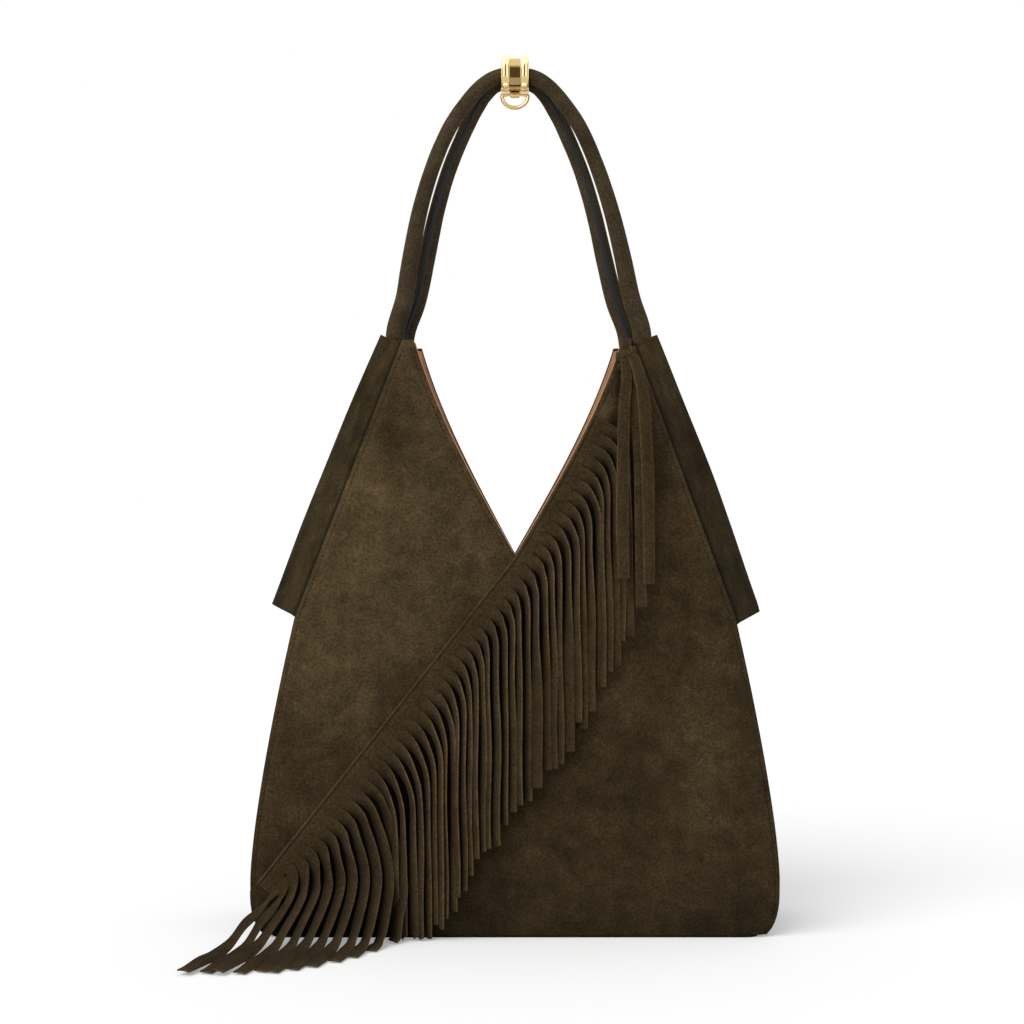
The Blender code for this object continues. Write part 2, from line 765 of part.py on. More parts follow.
def main():
    clear_scene()
    suede = material("suede", SUEDE, 0.95)
    suede_dark = material("suede_side", SUEDE_DARK, 0.95)
    tan = material("tan_leather", TAN, 0.6)
    gold = material("polished_gold", GOLD, 0.12, 1.0)

    build_base(suede_dark)
    build_front_left(suede)
    build_front_right(suede)
    build_back(suede)
    build_side("side_left", -1, WING_TOP_LEFT, suede_dark)
    build_side("side_right", 1, WING_TOP_RIGHT, suede_dark)
    build_lining("lining_front", -1, 1.0, -0.0006, tan)
    build_lining("lining_back", 1, BACK_NECK_SHARE, 0.001, tan)
    build_fringe(suede)
    front_shape = ((0.04, 1.010), (0.17, 0.955), (0.33, 0.890), (0.50, 0.805), (0.66, 0.692),
                   (0.80, 0.556), (0.90, 0.404), (0.966, 0.264))
    back_shape = ((0.04, 0.985), (0.17, 0.905), (0.33, 0.815), (0.50, 0.725), (0.66, 0.612),
                  (0.80, 0.475), (0.90, 0.356), (0.968, 0.244))
    build_handle("handle_front", FRONT_APEX_H, front_shape, FRONT_FOOT_LEFT, FRONT_FOOT_RIGHT, 1, suede)
    build_handle("handle_back", BACK_APEX_H, back_shape, BACK_FOOT_LEFT, BACK_FOOT_RIGHT, -1, suede)
    axis_h = build_keeper(gold)
    build_ring(axis_h, gold)
    build_tie(suede)


main()
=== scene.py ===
"""Looks of the fringed suede bag: fine suede shell, cut fringe, rolled handles, tie and gold keeper.

Metres, +Z up, front towards -Y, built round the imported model.
"""
import json
import math
import random

import bmesh
import bpy
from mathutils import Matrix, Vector, noise

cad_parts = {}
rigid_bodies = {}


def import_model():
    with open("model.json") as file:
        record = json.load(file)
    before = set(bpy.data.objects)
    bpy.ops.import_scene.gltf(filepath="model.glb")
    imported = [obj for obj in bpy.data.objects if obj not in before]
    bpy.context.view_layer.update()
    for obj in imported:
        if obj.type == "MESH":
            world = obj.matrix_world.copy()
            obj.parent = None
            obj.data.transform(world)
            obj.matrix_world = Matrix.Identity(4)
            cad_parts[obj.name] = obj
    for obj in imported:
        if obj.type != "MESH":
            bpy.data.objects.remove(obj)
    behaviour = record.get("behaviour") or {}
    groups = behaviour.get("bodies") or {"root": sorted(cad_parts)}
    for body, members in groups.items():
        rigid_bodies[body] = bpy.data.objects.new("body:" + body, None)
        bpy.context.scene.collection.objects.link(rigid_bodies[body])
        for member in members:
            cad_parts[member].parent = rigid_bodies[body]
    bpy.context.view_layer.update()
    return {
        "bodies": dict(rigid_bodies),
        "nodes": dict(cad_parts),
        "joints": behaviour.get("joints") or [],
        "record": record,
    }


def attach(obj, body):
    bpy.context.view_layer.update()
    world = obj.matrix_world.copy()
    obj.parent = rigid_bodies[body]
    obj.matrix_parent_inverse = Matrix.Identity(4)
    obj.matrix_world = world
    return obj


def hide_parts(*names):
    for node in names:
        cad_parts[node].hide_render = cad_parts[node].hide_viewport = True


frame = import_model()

# Body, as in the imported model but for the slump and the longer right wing
BODY_H = 0.4305
NOTCH_H = 0.229
BODY_W = 0.380
SHOULDER_W = 0.318
PEAK_LEFT = 0.082
PEAK_RIGHT = 0.086
CORNER_RX = 0.0135
CORNER_RZ = 0.030
BASE_D = 0.104
BELLY_D = 0.116
TOP_D = 0.078
BELLY_AT = 0.19
BELLY = 0.006
SLUMP = 0.0017
SLUMP_SMALL = 0.0005
EDGE_ROLL = 0.0025
ROLL_W = 0.009
NECK_TIP_H = 0.274
NECK_LEFT = 0.0735
NECK_RIGHT = 0.0780
NECK_BOW = 0.19
BACK_NECK_SHARE = 0.965
SEAM_END_H = 0.034
SEAM_OVERLAP = 0.0115
SEAM_LIFT = 0.0022
SUEDE_T = 0.0014
LINING_T = 0.0010
LINING_INSET = 0.0045
LINING_EASE = 0.0004
WALL_LOW = 0.0019
GAP = 0.0003
WING_LOW = 0.0235
WING_TOP_LEFT = 0.0175
WING_TOP_RIGHT = 0.0195
WING_BOW = 0.0020
WING_LONGER = 0.0055
CREASE_LIFT_LOW = 0.007
CREASE_LIFT_TOP = 0.010
SIDE_HOLLOW = 0.011
SIDE_INSET = 0.0008

# Fringe
FRINGE_TOP_H = 0.3755
STRIP_PITCH = 0.0090
STRIP_SLIT = 0.0003
BAND_W = 0.0095
STRIP_L = 0.163
STRIP_STAND = 0.0062
STRIP_FALL = 0.058
FRINGE_EASE = 0.0006
EDGE_ON = math.radians(20)
FACING_NECK = math.radians(55)
FACING_MID = math.radians(30)
FACING_FLOOR = math.radians(58)
LIE_FROM_H = 0.118
LIE_FORWARD = 0.105
LIE_FACE = Vector((-0.60, -0.77, 0.22))
LIE_TILT = math.radians(27)
LIE_DROP = (0.065, 0.009)
LIE_REACH = (0.033, -0.005)
LIE_SWEEP = (0.026, -0.047)
BEND_AT, BEND_H = 0.26, 0.0165
LAND_AT, LAND_H = 0.54, 0.0045
STRIP_CUP = 0.0013
STRIP_SPREAD = (-0.011, 0.004)
STRIP_TUCK = 0.0012
LAYER_STEP = 0.0017
LAYERED_STRIPS = 4
FRINGE_SEED = 11
BAND_EDGE = 0.0006
LIFT_OFF = 0.028
TRAIL_STEP = 0.002
SECTION_STEP = 0.0038
STRIP_ACROSS = (-1.0, -0.62, -0.2, 0.2, 0.62, 1.0)

# Handles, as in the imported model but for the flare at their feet
HANDLE_R = 0.0055
HANDLE_FOOT_R = 0.0070
RIDGE_H = 0.0010
HANDLE_RISE = 0.1985
BACK_SAG = 0.0024
APEX_Y = 0.0075
FOOT_Y = 0.0088
FOOT_DEPTH = 0.020
FOOT_FLARE = 0.0030
FRONT_FOOT_LEFT = 0.0850
FRONT_FOOT_RIGHT = 0.0904
BACK_FOOT_LEFT = 0.0805
BACK_FOOT_RIGHT = 0.0825
FRONT_APEX_H = BODY_H + HANDLE_RISE
BACK_APEX_H = FRONT_APEX_H - BACK_SAG

# Keeper and ring
KEEPER_W = 0.0206
KEEPER_CROWN = 0.0136
KEEPER_WALL = 0.0017
RAIL_H = 0.0015
RING_R = 0.0015
RING_HALF = 0.0095
RING_DROP = 0.0096
PIN_HALF = 0.0046
PIN_R = 0.0010
LUG_X = 0.0068
LUG_SIZE = Vector((0.0026, 0.0022, 0.0024))
SUNK_HALF = 0.19

# Stitching
STITCH_PITCH = 0.0030
STITCH_L = 0.0022
STITCH_W = 0.00055
STITCH_H = 0.00022
SEAM_PITCH = 0.0024
BAND_STITCH = (0.0017, 0.0006)
EDGE_STITCH = 0.0036
STITCH_SUNK = 0.0003
STITCH_PRESS = 0.00038
PRESS_W = 0.0006
HEM_ROWS = ((0.0022, "upper"), (0.0090, "lower"))

# Painted light and shade, as a share of the material's colour
PAINTED_FRINGE_SHADOW = 0.16
TUCKED_SHADE = 0.22
AWAY_SHADE = 0.07
FACING_SHADE = 0.74
LIT_SHADE = 1.18

# Tie
TIE_T = 0.0016
TIE_OVER = 0.0014
KNOT_LEFT = 0.0020
KNOT_DROP = 0.0135
KNOT_SIZE = (0.0044, 0.0032, 0.0056)
WRAP_W = 0.0084
THONG_ACROSS = (-1, -0.6, 0, 0.6, 1)
# Painted highlight along both edges of each thong
THONG_SHADES = (1.35, 0.98, 0.98, 0.98, 1.35)
WRAP_ACROSS = (-1, -0.5, 0, 0.5, 1)
# Painted shade on the low edge of the wrap, painted highlight on its top edge
WRAP_SHADES = (0.22, 0.62, 1.0, 1.12, 1.5)

# Camera and light
CAMERA_AT = (-0.00217, -1.455, 0.3056)
CAMERA_LENS = 68.7
SUN_POWER = 1.7
SUN_SPREAD = math.radians(50)
TO_LIGHT = Vector((-0.50, -0.62, 0.68))
FLOOR_HALF = 30.0
FLOOR_GREY = 0.86
FLOOR_GLOW = 0.27
ROOM_LIGHT = 0.55
MIRROR_LIGHT = 1.6


def clamp(v, low=0.0, high=1.0):
    return max(low, min(high, v))


def smooth(v):
    v = clamp(v)
    return v * v * (3 - 2 * v)


def lerp(a, b, t):
    return a + (b - a) * t


def wander(*at):
    """Smooth noise from about -1 to 1."""
    return noise.noise(Vector(at))


# Materials
def node_material(name):
    mat = bpy.data.materials.new(name)
    mat.use_nodes = True
    nodes = mat.node_tree.nodes
    coords = nodes.new("ShaderNodeTexCoord").outputs["Object"]
    return mat, nodes, mat.node_tree.links, nodes["Principled BSDF"], coords


def set_inputs(node, values):
    for name, value in values.items():
        node.inputs[name].default_value = value
    return node


def add_noise(nodes, links, coords, scale, detail, rough=0.55):
    tex = nodes.new("ShaderNodeTexNoise")
    set_inputs(tex, {"Scale": scale, "Detail": detail, "Roughness": rough})
    links.new(coords, tex.inputs["Vector"])
    return tex.outputs["Fac"]


def add_ramp(nodes, links, value, stops):
    ramp = nodes.new("ShaderNodeValToRGB")
    while len(ramp.color_ramp.elements) < len(stops):
        ramp.color_ramp.elements.new(0.5)
    for element, (stop, colour) in zip(ramp.color_ramp.elements, stops):
        element.position = stop
        element.color = (*colour, 1)
    links.new(value, ramp.inputs["Fac"])
    return ramp.outputs["Color"]


def add_mix(nodes, links, mode, first, second):
    mix = nodes.new("ShaderNodeMix")
    mix.data_type = "RGBA"
    mix.blend_type = mode
    mix.inputs["Factor"].default_value = 1.0
    links.new(first, mix.inputs["A"])
    links.new(second, mix.inputs["B"])
    return mix.outputs["Result"]


def add_bump(nodes, links, height, shader, strength, distance):
    bump = set_inputs(nodes.new("ShaderNodeBump"), {"Strength": strength, "Distance": distance})
    links.new(height, bump.inputs["Height"])
    links.new(bump.outputs["Normal"], shader.inputs["Normal"])


def scaled(colour, k):
    return tuple(c * k for c in colour)


def grey(level):
    return (level,) * 3


def suede(name, colour, cloud=0.48, nap=0.28, sheen=0.09, painted_low_shade=True):
    """Napped leather: brushed clouds, mottling and fibre grain, with painted shade that makes it darker
    towards the base of the bag.
    """
    mat, nodes, links, shader, coords = node_material(name)
    clouds = add_noise(nodes, links, coords, 13.0, 3.0)
    mottle = add_noise(nodes, links, coords, 70.0, 5.0, 0.62)
    fibre = add_noise(nodes, links, coords, 620.0, 3.0, 0.6)
    tone = add_ramp(nodes, links, clouds, ((0.30, scaled(colour, 1 - cloud)), (0.50, colour),
                                           (0.72, scaled(colour, 1 + cloud))))
    layers = [(mottle, ((0.32, grey(1 - nap)), (0.50, grey(1)), (0.68, grey(1 + nap)))),
              (fibre, ((0.34, grey(0.64)), (0.66, (1.34, 1.34, 1.32))))]
    # Painted shade: darker towards the floor, by height
    if painted_low_shade:
        split = nodes.new("ShaderNodeSeparateXYZ")
        links.new(coords, split.inputs["Vector"])
        layers.append((split.outputs["Z"], ((0.0, grey(0.38)), (0.09, grey(0.66)),
                                            (0.22, grey(0.86)), (0.40, grey(1)))))
    for value, stops in layers:
        tone = add_mix(nodes, links, "MULTIPLY", tone, add_ramp(nodes, links, value, stops))
    links.new(tone, shader.inputs["Base Color"])
    add_bump(nodes, links, add_noise(nodes, links, coords, 900.0, 4.0, 0.7), shader, 0.35, 0.0004)
    set_inputs(shader, {"Roughness": 1.0, "Specular IOR Level": 0.05, "Sheen Weight": sheen,
                        "Sheen Roughness": 0.55, "Sheen Tint": (0.55, 0.46, 0.34, 1)})
    return mat


def darken_by(mat, layer):
    """Multiplies a material's colour by a per-point layer of the mesh, which holds painted light and shade.
    """
    nodes, links = mat.node_tree.nodes, mat.node_tree.links
    colour = nodes["Principled BSDF"].inputs["Base Color"]
    attribute = nodes.new("ShaderNodeAttribute")
    attribute.attribute_name = layer
    source = colour.links[0].from_socket
    links.new(add_mix(nodes, links, "MULTIPLY", source, attribute.outputs["Color"]), colour)


def leather(name, colour, roughness, pore=260.0):
    """Smooth leather with a faint grain."""
    mat, nodes, links, shader, coords = node_material(name)
    tone = add_noise(nodes, links, coords, 40.0, 4.0)
    tone = add_ramp(nodes, links, tone, ((0.3, scaled(colour, 0.84)), (0.7, scaled(colour, 1.14))))
    links.new(tone, shader.inputs["Base Color"])
    cells = set_inputs(nodes.new("ShaderNodeTexVoronoi"), {"Scale": pore})
    links.new(coords, cells.inputs["Vector"])
    add_bump(nodes, links, cells.outputs["Distance"], shader, 0.25, 0.0003)
    set_inputs(shader, {"Roughness": roughness, "Specular IOR Level": 0.3})
    return mat


def metal(name, colour, low_rough, high_rough):
    """Polished metal whose gloss wanders a little, as on a plated casting."""
    mat, nodes, links, shader, coords = node_material(name)
    smear = add_noise(nodes, links, coords, 180.0, 3.0)
    tone = add_ramp(nodes, links, smear, ((0.3, scaled(colour, 0.94)), (0.7, colour)))
    links.new(tone, shader.inputs["Base Color"])
    span = set_inputs(nodes.new("ShaderNodeMapRange"), {"To Min": low_rough, "To Max": high_rough})
    links.new(smear, span.inputs["Value"])
    links.new(span.outputs["Result"], shader.inputs["Roughness"])
    shader.inputs["Metallic"].default_value = 1.0
    return mat


SUEDE_COLOUR = (0.0600, 0.0405, 0.0188)
# The wings' suede is the panel suede made darker: painted shade for sides that turn away from the light
SHADED_WING_COLOUR = (0.0365, 0.0255, 0.0112)
SUEDE_MAT = suede("suede_panel", SUEDE_COLOUR)
SUEDE_SIDE_MAT = suede("suede_wing", SHADED_WING_COLOUR, 0.55, 0.34, 0.0)
# Fringe and tie suede: the panel suede scaled darker, as painted shade among the strips
SHADED_FRINGE_MAT = suede("suede_fringe", scaled(SUEDE_COLOUR, 0.72), 0.16, 0.20, 0.06, False)
# Cut edges: lighter raw suede, brightened further as a painted highlight line
CUT_EDGE_AND_HIGHLIGHT_MAT = suede("suede_cut_edge_highlight", scaled(SUEDE_COLOUR, 1.50), 0.10, 0.14, 0.09, False)
HANDLE_MAT = suede("suede_handle", (0.0510, 0.0365, 0.0195), 0.24, 0.24, 0.12)
THREAD_MAT = suede("thread", scaled(SUEDE_COLOUR, 0.42), 0.05, 0.05, 0.0)
# Panel suede that takes the painted shadow of the fringe and the tie
SHADOWED_PANEL_MAT = suede("suede_panel_right", SUEDE_COLOUR)
# These materials take painted light and shade from the mesh layer named nap
for shaded in (SHADED_FRINGE_MAT, CUT_EDGE_AND_HIGHLIGHT_MAT, SHADOWED_PANEL_MAT, SUEDE_SIDE_MAT):
    darken_by(shaded, "nap")
TAN_MAT = leather("tan_lining", (0.55, 0.285, 0.145), 0.55)
PAINT_MAT = leather("edge_paint", (0.0080, 0.0095, 0.0120), 0.42, 420.0)
GOLD_MAT = metal("polished_gold", (0.93, 0.70, 0.35), 0.06, 0.13)
# A darker copy of the gold: painted shade and dark reflection for the keeper's sunk band
SHADOWED_GOLD_MAT = metal("shadowed_gold", (0.50, 0.35, 0.15), 0.05, 0.10)


# Mesh helpers
def place(name, data):
    obj = bpy.data.objects.new(name, data)
    bpy.context.collection.objects.link(obj)
    return obj


def add_object(name, verts, faces, mats, face_mats=None, sharp=40, body="bag", shades=None):
    mesh = bpy.data.meshes.new(name)
    mesh.from_pydata([tuple(v) for v in verts], [], faces)
    # Painted light and shade per point, kept in the layer named nap
    if shades:
        layer = mesh.attributes.new("nap", "FLOAT_COLOR", "POINT")
        layer.data.foreach_set("color", [v for shade in shades for v in (shade, shade, shade, 1.0)])
    for mat in mats:
        mesh.materials.append(mat)
    if face_mats:
        mesh.polygons.foreach_set("material_index", face_mats)
    bm = bmesh.new()
    bm.from_mesh(mesh)
    bmesh.ops.remove_doubles(bm, verts=bm.verts, dist=1e-7)
    bmesh.ops.dissolve_degenerate(bm, edges=bm.edges, dist=1e-7)
    bmesh.ops.recalc_face_normals(bm, faces=bm.faces)
    bm.to_mesh(mesh)
    bm.free()
    mesh.shade_smooth()
    mesh.set_sharp_from_angle(angle=math.radians(sharp))
    obj = place(name, mesh)
    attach(obj, body)
    return obj


def weld_grids(grids):
    """Points and faces of several (x, z) grids that share edges."""
    points, index, faces = [], {}, []

    def find(p):
        key = (round(p[0], 6), round(p[1], 6))
        if key not in index:
            index[key] = len(points)
            points.append(p)
        return index[key]

    for grid in grids:
        for low, high in zip(grid, grid[1:]):
            for i in range(len(low) - 1):
                face = []
                for p in (low[i], low[i + 1], high[i + 1], high[i]):
                    k = find(p)
                    if k not in face:
                        face.append(k)
                if len(face) > 2:
                    faces.append(tuple(face))
    return points, faces


def add_shell(name, outer, inner, faces, mat, shades=None):
    """A closed sheet between two matching sets of points."""
    count = len(outer)
    used = dict.fromkeys((a, b) for face in faces for a, b in zip(face, face[1:] + face[:1]))
    closed = list(faces)
    closed += [tuple(i + count for i in reversed(face)) for face in faces]
    closed += [(b, a, a + count, b + count) for a, b in used if (b, a) not in used]
    return add_object(name, outer + inner, closed, [mat], shades=shades)


# Body shape
def half_width(z, x):
    peak = PEAK_LEFT if x < 0 else PEAK_RIGHT
    if z >= NOTCH_H:
        return lerp(SHOULDER_W / 2, peak, (z - NOTCH_H) / (BODY_H - NOTCH_H))
    bend = CORNER_RZ * 1.4
    width = BODY_W / 2
    if z > bend:
        width -= (BODY_W - SHOULDER_W) / 2 * ((z - bend) / (NOTCH_H - bend)) ** 1.35
    if z < CORNER_RZ:
        width -= CORNER_RX * (1 - math.sqrt(1 - (1 - z / CORNER_RZ) ** 2))
    return width


def slump(x, z, side):
    """Soft hollows and swells that the suede takes as the bag stands."""
    width = half_width(z, x)
    still = smooth((width - abs(x)) / 0.035) * smooth(z / 0.05) * smooth((BODY_H - z) / 0.10)
    wide = wander(x * 8.5, z * 6.5, 3.7 * side)
    small = wander(x * 24, z * 19, 8.1 * side)
    return (SLUMP * wide + SLUMP_SMALL * small) * still


def half_depth(x, z, side=-1):
    h = clamp(z / BODY_H)
    if h < BELLY_AT:
        depth = lerp(BASE_D / 2, BELLY_D / 2, math.sin(h / BELLY_AT * math.pi / 2))
    else:
        depth = lerp(BELLY_D / 2, TOP_D / 2, ((h - BELLY_AT) / (1 - BELLY_AT)) ** 1.2)
    width = half_width(z, x)
    across = clamp(abs(x) / width)
    depth += BELLY * (1 - across * across) * 4 * h * (1 - h) + slump(x, z, side)
    return depth - EDGE_ROLL * (1 - smooth((width - abs(x)) / ROLL_W))


def neck(z, side):
    """How far the neck edge on one side is from the middle."""
    t = clamp((z - NECK_TIP_H) / (BODY_H - NECK_TIP_H))
    return (NECK_LEFT if side < 0 else NECK_RIGHT) * ((1 + NECK_BOW) * t - NECK_BOW * t ** 3)


def seam_x(z):
    return -BODY_W / 2 * (NECK_TIP_H - z) / (NECK_TIP_H - SEAM_END_H)


SEAM_RISE = NECK_TIP_H - SEAM_END_H
SEAM_LEAN = SEAM_RISE / math.hypot(BODY_W / 2, SEAM_RISE)


def seam_lift(x, z):
    distance = (x - seam_x(z)) * SEAM_LEAN
    above = smooth((NECK_TIP_H + 0.008 - z) / 0.012)
    return SEAM_LIFT * (1 - smooth((distance - SEAM_OVERLAP) / 0.010)) * above


EDGE_STEPS = (0, 0.00018, 0.0005, 0.0009, 0.0015, 0.0024, 0.0031, 0.0036, 0.0041, 0.0050)


def columns(left, right, inner):
    """X places of one row: close together by both edges, even between them."""
    span = right - left
    k = min(1.0, span / (2.6 * EDGE_STEPS[-1]))
    low = [left + step * k for step in EDGE_STEPS]
    high = [right - step * k for step in reversed(EDGE_STEPS)]
    return low + [lerp(low[-1], high[0], (i + 1) / (inner + 1)) for i in range(inner)] + high


def levels(low, high, through, step):
    marks = [low] + [m for m in sorted(through) if low + 0.002 < m < high - 0.002] + [high]
    out = [low]
    for a, b in zip(marks, marks[1:]):
        n = max(1, round((b - a) / step))
        out += [lerp(a, b, (i + 1) / n) for i in range(n)]
    return out


def turned(distance):
    """Depth that a turned, stitched edge loses: round at the very edge, pressed in at the stitches."""
    radius = SUEDE_T * 0.55
    edge = 0.0
    if distance < radius:
        edge = radius * (1 - math.sqrt(clamp(1 - (1 - distance / radius) ** 2)))
    press = STITCH_PRESS * math.exp(-((distance - EDGE_STITCH) / PRESS_W) ** 2)
    return edge + press


def panel(name, grids, side, lift, edges, mat, shade=None):
    """A sewn panel. edges(x, z) gives the distance to the nearest turned edge."""
    points, faces = weld_grids(grids)
    outer, inner = [], []
    for x, z in points:
        skin = half_depth(x, z, side) + lift(x, z)
        drop = turned(edges(x, z))
        outer.append((x, side * (skin - drop), z))
        inner.append((x, side * (skin - max(SUEDE_T, drop + 0.0005)), z))
    shades = [shade(x, z) for x, z in points] * 2 if shade else None
    return add_shell(name, outer, inner, faces, mat, shades)


def under_fringe(x, z):
    """Painted shadow: the panel behind the strips and the tie is darkened where they shade it."""
    along = x - lerp(0.021, 0.010, smooth((x + 0.075) / 0.07))
    if along < 0:
        top = NECK_TIP_H + along * SEAM_RISE / (BODY_W / 2)
    else:
        top = NECK_TIP_H + along * (FRINGE_TOP_H - NECK_TIP_H) / neck(FRINGE_TOP_H, 1)
    top = min(top, FRINGE_TOP_H + 0.02)
    cover = smooth((top + 0.004 - z) / 0.020) * smooth((z - top + STRIP_L - 0.004) / 0.030)
    strips = cover * smooth((0.088 - x) / 0.02)
    drop = BODY_H - z
    tie = smooth((x - 0.070) / 0.005) * smooth((0.0925 + 0.05 * drop - x) / 0.004)
    tie *= smooth((0.19 - drop) / 0.05)
    return lerp(1.0, PAINTED_FRINGE_SHADOW, max(strips, 0.80 * tie))


ROW_STEP = 0.0046


def front_left_grid():
    rows = []
    for z in levels(SEAM_END_H - 0.006, BODY_H, (NECK_TIP_H - 0.012, NECK_TIP_H, NOTCH_H), ROW_STEP):
        if z > NECK_TIP_H:
            edge = -neck(z, -1)
        else:
            edge = seam_x(z) + SEAM_OVERLAP * clamp((NECK_TIP_H - z) / 0.012)
        rows.append([(x, z) for x in columns(-half_width(z, -1), edge, 40)])
    return rows


def front_right_grid():
    rows = []
    for z in levels(WALL_LOW, BODY_H, (SEAM_END_H, NECK_TIP_H, NOTCH_H), ROW_STEP):
        edge = neck(z, 1) if z > NECK_TIP_H else max(seam_x(z), -half_width(z, -1))
        rows.append([(x, z) for x in columns(edge, half_width(z, 1), 64)])
    return rows


def two_lobes(low, high, inset, share, shift, step, inner):
    grids = []
    for side in (-1, 1):
        rows = []
        for z in levels(low, high, (NECK_TIP_H, NOTCH_H), step):
            edge = side * (half_width(z, side) - inset)
            middle = 0.0
            if z > NECK_TIP_H + 0.001:
                middle = side * max(neck(z, side) * share + shift, 0.0002)
            rows.append([(x, z) for x in columns(min(edge, middle), max(edge, middle), inner)])
        grids.append(rows)
    return grids


def neck_slope(z, side=1):
    return math.cos(math.atan2(neck(z + 0.004, side) - neck(z - 0.004, side), 0.008))


def side_distance(x, z):
    return half_width(z, x) - abs(x)


def left_edges(x, z):
    inner = 1.0
    if z > NECK_TIP_H - 0.001:
        inner = (-neck(z, -1) - x) * neck_slope(z, -1)
    return max(0.0, min(side_distance(x, z), inner))


def right_edges(x, z):
    if z > NECK_TIP_H:
        inner = (x - neck(z, 1)) * neck_slope(z)
    else:
        inner = (x - seam_x(z)) * SEAM_LEAN
    return max(0.0, min(side_distance(x, z), inner))


def back_edges(x, z):
    inner = 1.0
    if z > NECK_TIP_H:
        inner = (abs(x) - neck(z, x) * BACK_NECK_SHARE) * neck_slope(z, x)
    return max(0.0, min(side_distance(x, z), inner))


def flat_lift(x, z):
    return 0.0


def build_shell():
    left = panel("panel_front_left", [front_left_grid()], -1, flat_lift, left_edges, SUEDE_MAT)
    # The right panel carries the painted shadow of the fringe and the tie
    right = panel("panel_front_right", [front_right_grid()], -1, seam_lift, right_edges, SHADOWED_PANEL_MAT,
                  under_fringe)
    lobes = two_lobes(WALL_LOW, BODY_H, 0, BACK_NECK_SHARE, 0, ROW_STEP, 36)
    back = panel("panel_back", lobes, 1, flat_lift, back_edges, SUEDE_MAT)
    for obj, node in ((left, "front_left_panel"), (right, "front_right_panel"), (back, "back_panel")):
        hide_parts(node)


def build_linings():
    skin = SUEDE_T + LINING_EASE
    for name, side, share, shift in (("lining_front", -1, 1.0, -0.0007),
                                     ("lining_back", 1, BACK_NECK_SHARE, 0.0009)):
        grids = two_lobes(WALL_LOW + 0.002, BODY_H - 0.0022, LINING_INSET, share, shift, 0.009, 14)
        points, faces = weld_grids(grids)
        outer, inner = [], []
        for x, z in points:
            depth = half_depth(x, z, side) - skin
            outer.append((x, side * depth, z))
            inner.append((x, side * (depth - LINING_T), z))
        obj = add_shell("tan_" + name, outer, inner, faces, TAN_MAT)
        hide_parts(name)


def wing_fold(share):
    """Height of the folded wing across the bag, with a pressed but not knife-sharp crease."""
    round_off = 0.035
    return (1 + round_off - math.sqrt(share * share + round_off * round_off)) * (1 - 0.0006)


def side_rows(side, wing_top):
    rows = []
    notch = NOTCH_H - (WING_LONGER if side > 0 else 0.0)
    for z in levels(WALL_LOW, notch - 0.001, (SEAM_END_H,), 0.007):
        pinch = 0.35 * wander(side * 2.0, 0.4, z * 9) + 1
        rows.append((z, -SIDE_HOLLOW * smooth(z / 0.12) * pinch, 0.0, False))
    top = BODY_H - 0.0028
    for z in levels(notch + 0.0012, top, (), 0.006):
        t = clamp((z - NOTCH_H) / (BODY_H - NOTCH_H))
        reach = lerp(WING_LOW, wing_top, t) + WING_BOW * 4 * t * (1 - t)
        rows.append((z, reach, lerp(CREASE_LIFT_LOW, CREASE_LIFT_TOP, t), True))
    return rows


def side_point(side, row, share):
    z, reach, lift, folded = row
    edge = half_width(z, side) - SIDE_INSET
    limit = half_depth(side * half_width(z, side), z) - SUEDE_T - GAP
    fold = wing_fold(share) if folded else 1 - share * share
    if folded:
        ease = 1 - share * share
        reach += 0.0011 * ease * wander(side * 3.0, share * 1.5, z * 14)
    return Vector((side * (edge + reach * fold), limit * share, z + lift * fold))


def build_side(name, node, side, wing_top):
    rows = side_rows(side, wing_top)
    shares = [-1, -0.985, -0.96, -0.92] + [-0.85 + 1.7 * i / 22 for i in range(23)] + [0.92, 0.96, 0.985, 1]
    outer = [side_point(side, row, share) for row in rows for share in shares]
    across = len(shares)
    faces = []
    for r in range(len(rows) - 1):
        for i in range(across - 1):
            a = r * across + i
            faces.append((a, a + 1, a + across + 1, a + across))
    normals = [Vector() for _ in outer]
    for face in faces:
        a, b, c, d = (outer[i] for i in face)
        normal = (c - a).cross(d - b).normalized()
        for i in face:
            normals[i] += normal
    inner = []
    for point, normal in zip(outer, normals):
        normal.normalize()
        if normal.x * side < 0:
            normal = -normal
        shifted = point - normal * SUEDE_T
        shifted.z = max(shifted.z, WALL_LOW)
        inner.append(shifted)
    # Painted shadow along the wing's front and back edges, where it tucks under the panels
    shades = [lerp(TUCKED_SHADE, 1.0, smooth((1 - abs(share)) / 0.17)) for _ in rows for share in shares] * 2
    obj = add_shell(name, outer, inner, faces, SUEDE_SIDE_MAT, shades)
    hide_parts(node)
    return rows


# Stitches
def stitch_mesh(verts, faces, centre, along, up, length, width, height):
    """One thread stitch: a low, round-ended dash lying on the surface."""
    along = along.normalized()
    up = (up - along * up.dot(along)).normalized()
    across = along.cross(up)
    first = len(verts)
    for t, k in ((-0.5, 0.35), (-0.32, 1.0), (0.32, 1.0), (0.5, 0.35)):
        for a, b in ((-0.5, -0.35), (-0.36, 0.55), (0, 0.9), (0.36, 0.55), (0.5, -0.35)):
            verts.append(centre + along * (t * length) + across * (a * width * k) + up * (b * height * k))
    for r in range(3):
        for k in range(5):
            a = first + r * 5 + k
            b = first + r * 5 + (k + 1) % 5
            faces.append((a, b, b + 5, a + 5))
    faces.append(tuple(first + k for k in range(5)))
    faces.append(tuple(first + 15 + k for k in reversed(range(5))))


def walk(path, pitch):
    """Places an even pitch apart along a path: the travel, the point and the way ahead."""
    gone, due = 0.0, pitch
    for a, b in zip(path, path[1:]):
        step = (b - a).length
        while gone + step >= due:
            yield due, a.lerp(b, (due - gone) / step), b - a
            due += pitch
        gone += step


